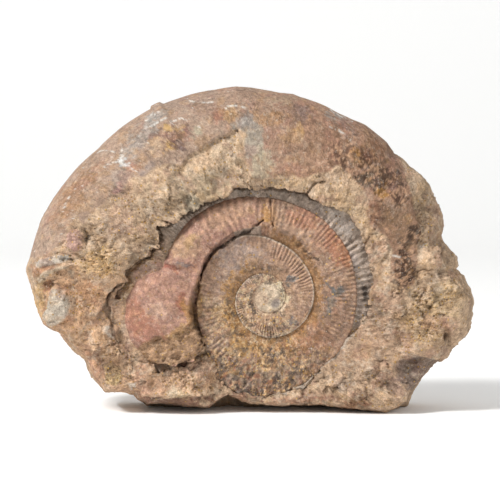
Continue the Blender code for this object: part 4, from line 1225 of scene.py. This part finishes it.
def coil_relief(coil):
    """Depth of the flank: its section with ribs, wear, torn layers, steps, crevice and knobs."""
    right, up, flat = coil.right, coil.up, coil.flat
    depth = coil.depth + coil.ribs * coil.rib_height
    depth += coil.weathered * (0.42 * coil.grain + 0.6 * coil.pits) + 0.6 * layered(flat, 15.0, 137, 2)
    crumbs = 1 - 2 * np.abs(layered(flat, 6.0, 197, 4, 0.6))
    depth += coil.torn * (-1.6 + 1.0 * crumbs + 1.6 * facets(flat, 6.0, 199))
    for path, rise, reach, sharp in COIL_LEDGES:
        depth += ledge(right, up, path, rise, reach, sharp, coil.warp)
    depth -= 4.0 * smooth(1.2, 0.3, coil.gap)
    for path, width, deep in COIL_CRACKS:
        depth += crack(right, up, path, width, deep, [0.3 * coil.warp[0], 0.3 * coil.warp[1]])
    for x, y, half_x, half_y, turned, rise in COIL_BUMPS:
        depth += rise * smooth(1.3, 0.2, blob(right, up, (x, y, half_x, half_y, turned)))
    return depth


def seam_colours(colour, coil):
    """Rusty band in the seams, ochre crystals beside it, and the pale line along the keel."""
    turn, share = coil.turn, coil.share
    frill = 0.10 * layered(coil.flat, 4.0, 173, 3, 0.8) + 0.03 * coil.ribs
    seam_band = smooth(0.26, 0.14, share + frill) * smooth(60, 120, turn) * smooth(452, 440, turn)
    colour = mix(colour, "#9c7041", 0.7 * seam_band)
    fringe = smooth(0.14, 0.24, share + frill) * smooth(0.42, 0.26, share + frill)
    fringe = fringe * smooth(80, 130, turn) * smooth(300, 250, turn)
    broken = 0.45 + 0.4 * smooth(-0.2, 0.3, layered(coil.flat, 2.4, 267, 3, 0.8))
    colour = mix(colour, "#c08d4c", fringe * broken)
    keel = smooth(0.93, 0.965, share) * (turn < 130) * (turn > -230)
    return mix(colour, "#d3c2ad", 0.8 * keel)


def crystal_colours(colour, coil):
    """Ochre clouds, bright crystals with dark gaps, rust, torn tan layers and pale speckle."""
    flat, bottom, lower_left, first = coil.flat, coil.bottom, coil.lower_left, coil.first
    clear_middle = smooth(9, 13, coil.radius)
    ochre = smooth(0.15, 0.7, layered(flat, 4.0, 151, 3, 0.7)) * clear_middle
    colour = mix(colour, "#ad8044", ochre * (0.12 + 0.2 * bottom + 0.25 * lower_left))
    specks = layered(flat, 2.2, 227, 3, 0.8)
    crystals = (0.2 + 0.45 * coil.crowd * (bottom + lower_left)) * clear_middle
    colour = mix(colour, "#5c432f", 0.5 * smooth(-0.3, -0.55, specks) * crystals)
    colour = mix(colour, "#d6ac7c", smooth(0.35, 0.6, specks) * crystals)
    rusty = smooth(0.4, 0.8, layered(flat, 5.0, 229, 4, 0.7)) * (0.1 + 0.35 * bottom)
    colour = mix(colour, "#a5603c", rusty)
    colour = mix(colour, "#b9956f", 0.75 * coil.torn)
    speckle = smooth(0.25, 0.6, layered(flat, 2.6, 233, 3, 0.8))
    colour = mix(colour, "#d6bf98", speckle * (0.5 * first + 0.35 * lower_left))
    dark = smooth(0.15, 0.6, layered(flat, 3.0, 191, 3, 0.8))
    dark = dark * (0.12 + 0.36 * bottom + 0.25 * coil.knobs + 0.35 * lower_left + 0.5 * first)
    return mix(colour, "#5d4f45", dark)


def coil_colours(coil):
    """Linear colours of the whorls: stains, seams and crystals, then painted light on the rib crests
    and grain, and painted shade in the pits, along the seams and edges, at the foot of the last piece
    and in the crevice.
    """
    turn, share, flat, radius = coil.turn, coil.share, coil.flat, coil.radius
    red = 0.8 * smooth(440, 470, turn) + 0 * share
    colour = mix(linear("#ac8a72") + 0 * flat, "#b88b78", red)
    loose = 2.2 * smooth(6, 22, radius) + 0.3
    warp = [layered(flat, 8.0, seed, 4, 0.65) * loose for seed in (139, 149)]
    fray = 0.18 * layered(flat, 3.0, 237, 3, 0.8) * smooth(6, 22, radius)
    colour = paint(coil.right, coil.up, colour, warp, fray, COIL_PATCHES)
    colour = seam_colours(colour, coil)
    colour = crystal_colours(colour, coil)
    # Painted light and shade, with random tone: lighter on rib crests and high grain, darker in the
    # pits.
    lit = 1 + 0.30 * coil.ribs * np.clip(coil.rib_height / 0.5, 0, 1)
    lit = lit * (1 + 0.09 * layered(flat, 13.0, 157, 3))
    lit = lit * (1 + 0.16 * coil.grain + 0.35 * coil.pits * np.clip(coil.weathered, 0, 1))
    # Painted shade along the inner seam, the open outer edge, the foot of the last piece and the
    # crevice beside it.
    open_edge = 1 - smooth(205, 225, turn) * smooth(345, 325, turn)
    lit = lit * (1 - 0.2 * smooth(0.05, 0.0, share) * (turn > 100) * (turn < 450))
    lit = lit * (1 - 0.3 * (share > 0.99) * open_edge)
    lit = lit * (1 - 0.3 * coil.foot * smooth(462, 476, turn))
    lit = lit * (1 - 0.4 * smooth(1.0, 0.2, coil.gap))
    bare_floor = (coil.foot * (turn < 476))[..., None] > 0.5
    colour = np.where(bare_floor, linear("#b79f8b"), colour)
    return np.clip(colour * lit[..., None], 0.01, 0.9)


def make_coil():
    """The strip: rows of the flank, then an underside and a tucked inner edge that close it."""
    coil = coil_fields()
    inner, angle = coil.inner, coil.angle
    top = place(coil.right, coil.up, -coil_relief(coil))
    lap = np.minimum(LAP, 0.5 * inner)
    under_radius = np.concatenate([coil.outer, inner - lap], axis=1)
    under_angle = np.concatenate([angle[:, -1:], angle[:, :1]], axis=1)
    under = place(under_radius * np.cos(under_angle), under_radius * np.sin(under_angle),
                  -UNDERSIDE + 0 * under_radius)
    tucked = place((inner - lap) * np.cos(angle[:, :1]), (inner - lap) * np.sin(angle[:, :1]),
                   -(read_table(SEAM_LEVEL, coil.turn) - TUCKED_DROP))
    rings = np.concatenate([top, under, tucked], axis=1)
    colour = coil_colours(coil)
    tints = np.concatenate([colour, colour[:, -1:], colour[:, :1], colour[:, :1]], axis=1)
    grainy = np.where(coil.turn < 452, 0.1, 0.02) + 0.3 * coil.torn + 0 * coil.share
    grainy = grainy + 0.28 * coil.crowd * (coil.bottom + coil.lower_left) + 0.3 * coil.first
    grainy = np.concatenate([grainy, grainy[:, :3]], axis=1)
    piece = closed_surface("coiled_whorls", rings[:, ::-1])
    finish_piece(piece, tints[:, ::-1], grainy[:, ::-1], limestone("fossil_cast_limestone", 0.7, 0.5))


make_coil()


# The studio: a sheet of matt white paper, level and then swept up behind, lit by a soft lamp high
# on the left, a weaker and larger one on the right, and a pale sky.
PAPER_TINT = "#fcfcfb"
SHEET_REACH = 4.0
BEND_START = 1.6
BEND_RADIUS = 0.8
MIDDLE = (0, 0, 0.1)


def make_floor():
    """Sheet that runs level and then bends up behind: a quarter circle in profile."""
    bend = np.linspace(0, math.pi / 2, 25)
    run = np.concatenate([[-SHEET_REACH], BEND_START + BEND_RADIUS * np.sin(bend),
                          [BEND_START + BEND_RADIUS]])
    rise = np.concatenate([[0.0], BEND_RADIUS - BEND_RADIUS * np.cos(bend), [SHEET_REACH]])
    across = np.array([-SHEET_REACH, SHEET_REACH])
    points = np.stack([np.repeat(across, len(run)), np.tile(run, 2), np.tile(rise, 2)], axis=-1)
    count = len(run)
    faces = [(k, count + k, count + k + 1, k + 1) for k in range(count - 1)]
    mesh = bpy.data.meshes.new("floor")
    mesh.from_pydata(points.tolist(), [], faces)
    mesh.shade_smooth()
    floor = bpy.data.objects.new("floor", mesh)
    bpy.context.scene.collection.objects.link(floor)
    paper = bpy.data.materials.new("matt_white_paper")
    paper.use_nodes = True
    shader = paper.node_tree.nodes["Principled BSDF"]
    shader.inputs["Base Color"].default_value = (*linear(PAPER_TINT), 1)
    shader.inputs["Roughness"].default_value = 0.9
    mesh.materials.append(paper)


def add_lamp(name, spot, size, power):
    """A square soft lamp at a spot, turned towards the stone's middle."""
    lamp = bpy.data.lights.new(name, "AREA")
    lamp.size = size
    lamp.energy = power
    thing = bpy.data.objects.new(name, lamp)
    thing.location = spot
    away = np.array(spot) - np.array(MIDDLE)
    away = away / np.linalg.norm(away)
    thing.rotation_euler = (math.acos(away[2]), 0.0, math.atan2(away[1], away[0]) + math.pi / 2)
    bpy.context.scene.collection.objects.link(thing)


make_floor()
add_lamp("key_lamp", (-1.35, -1.0, 1.65), 0.5, 56.0)
add_lamp("fill_lamp", (1.6, -1.6, 0.7), 1.6, 10.0)
world = bpy.data.worlds.new("studio")
world.use_nodes = True
world.node_tree.nodes["Background"].inputs["Color"].default_value = (1, 1, 1, 1)
world.node_tree.nodes["Background"].inputs["Strength"].default_value = 0.6
bpy.context.scene.world = world
bpy.context.scene.view_settings.view_transform = "Standard"


# The camera looks from where the photo was taken: 2 m away and 4 degrees up, with a long lens that
# shows 360 mm at the stone, which is the photo's 500 pixels of 0.72 mm.
FRAME_WIDTH = 360.0
SENSOR = 36.0
FAR_END = 50.0

camera = bpy.data.cameras.new("camera")
camera.sensor_width = SENSOR
camera.lens = SENSOR * VIEW_DISTANCE / FRAME_WIDTH
camera.clip_end = FAR_END
viewer = bpy.data.objects.new("camera", camera)
back_off = VIEW_DISTANCE * math.cos(VIEW_RISE)
viewer.location = (SHIFT[0] * MM, (SHIFT[1] - back_off) * MM,
                   (VIEW_HEIGHT + VIEW_DISTANCE * math.sin(VIEW_RISE)) * MM)
viewer.rotation_euler = (math.pi / 2 - VIEW_RISE, 0.0, 0.0)
bpy.context.scene.collection.objects.link(viewer)
bpy.context.scene.camera = viewer
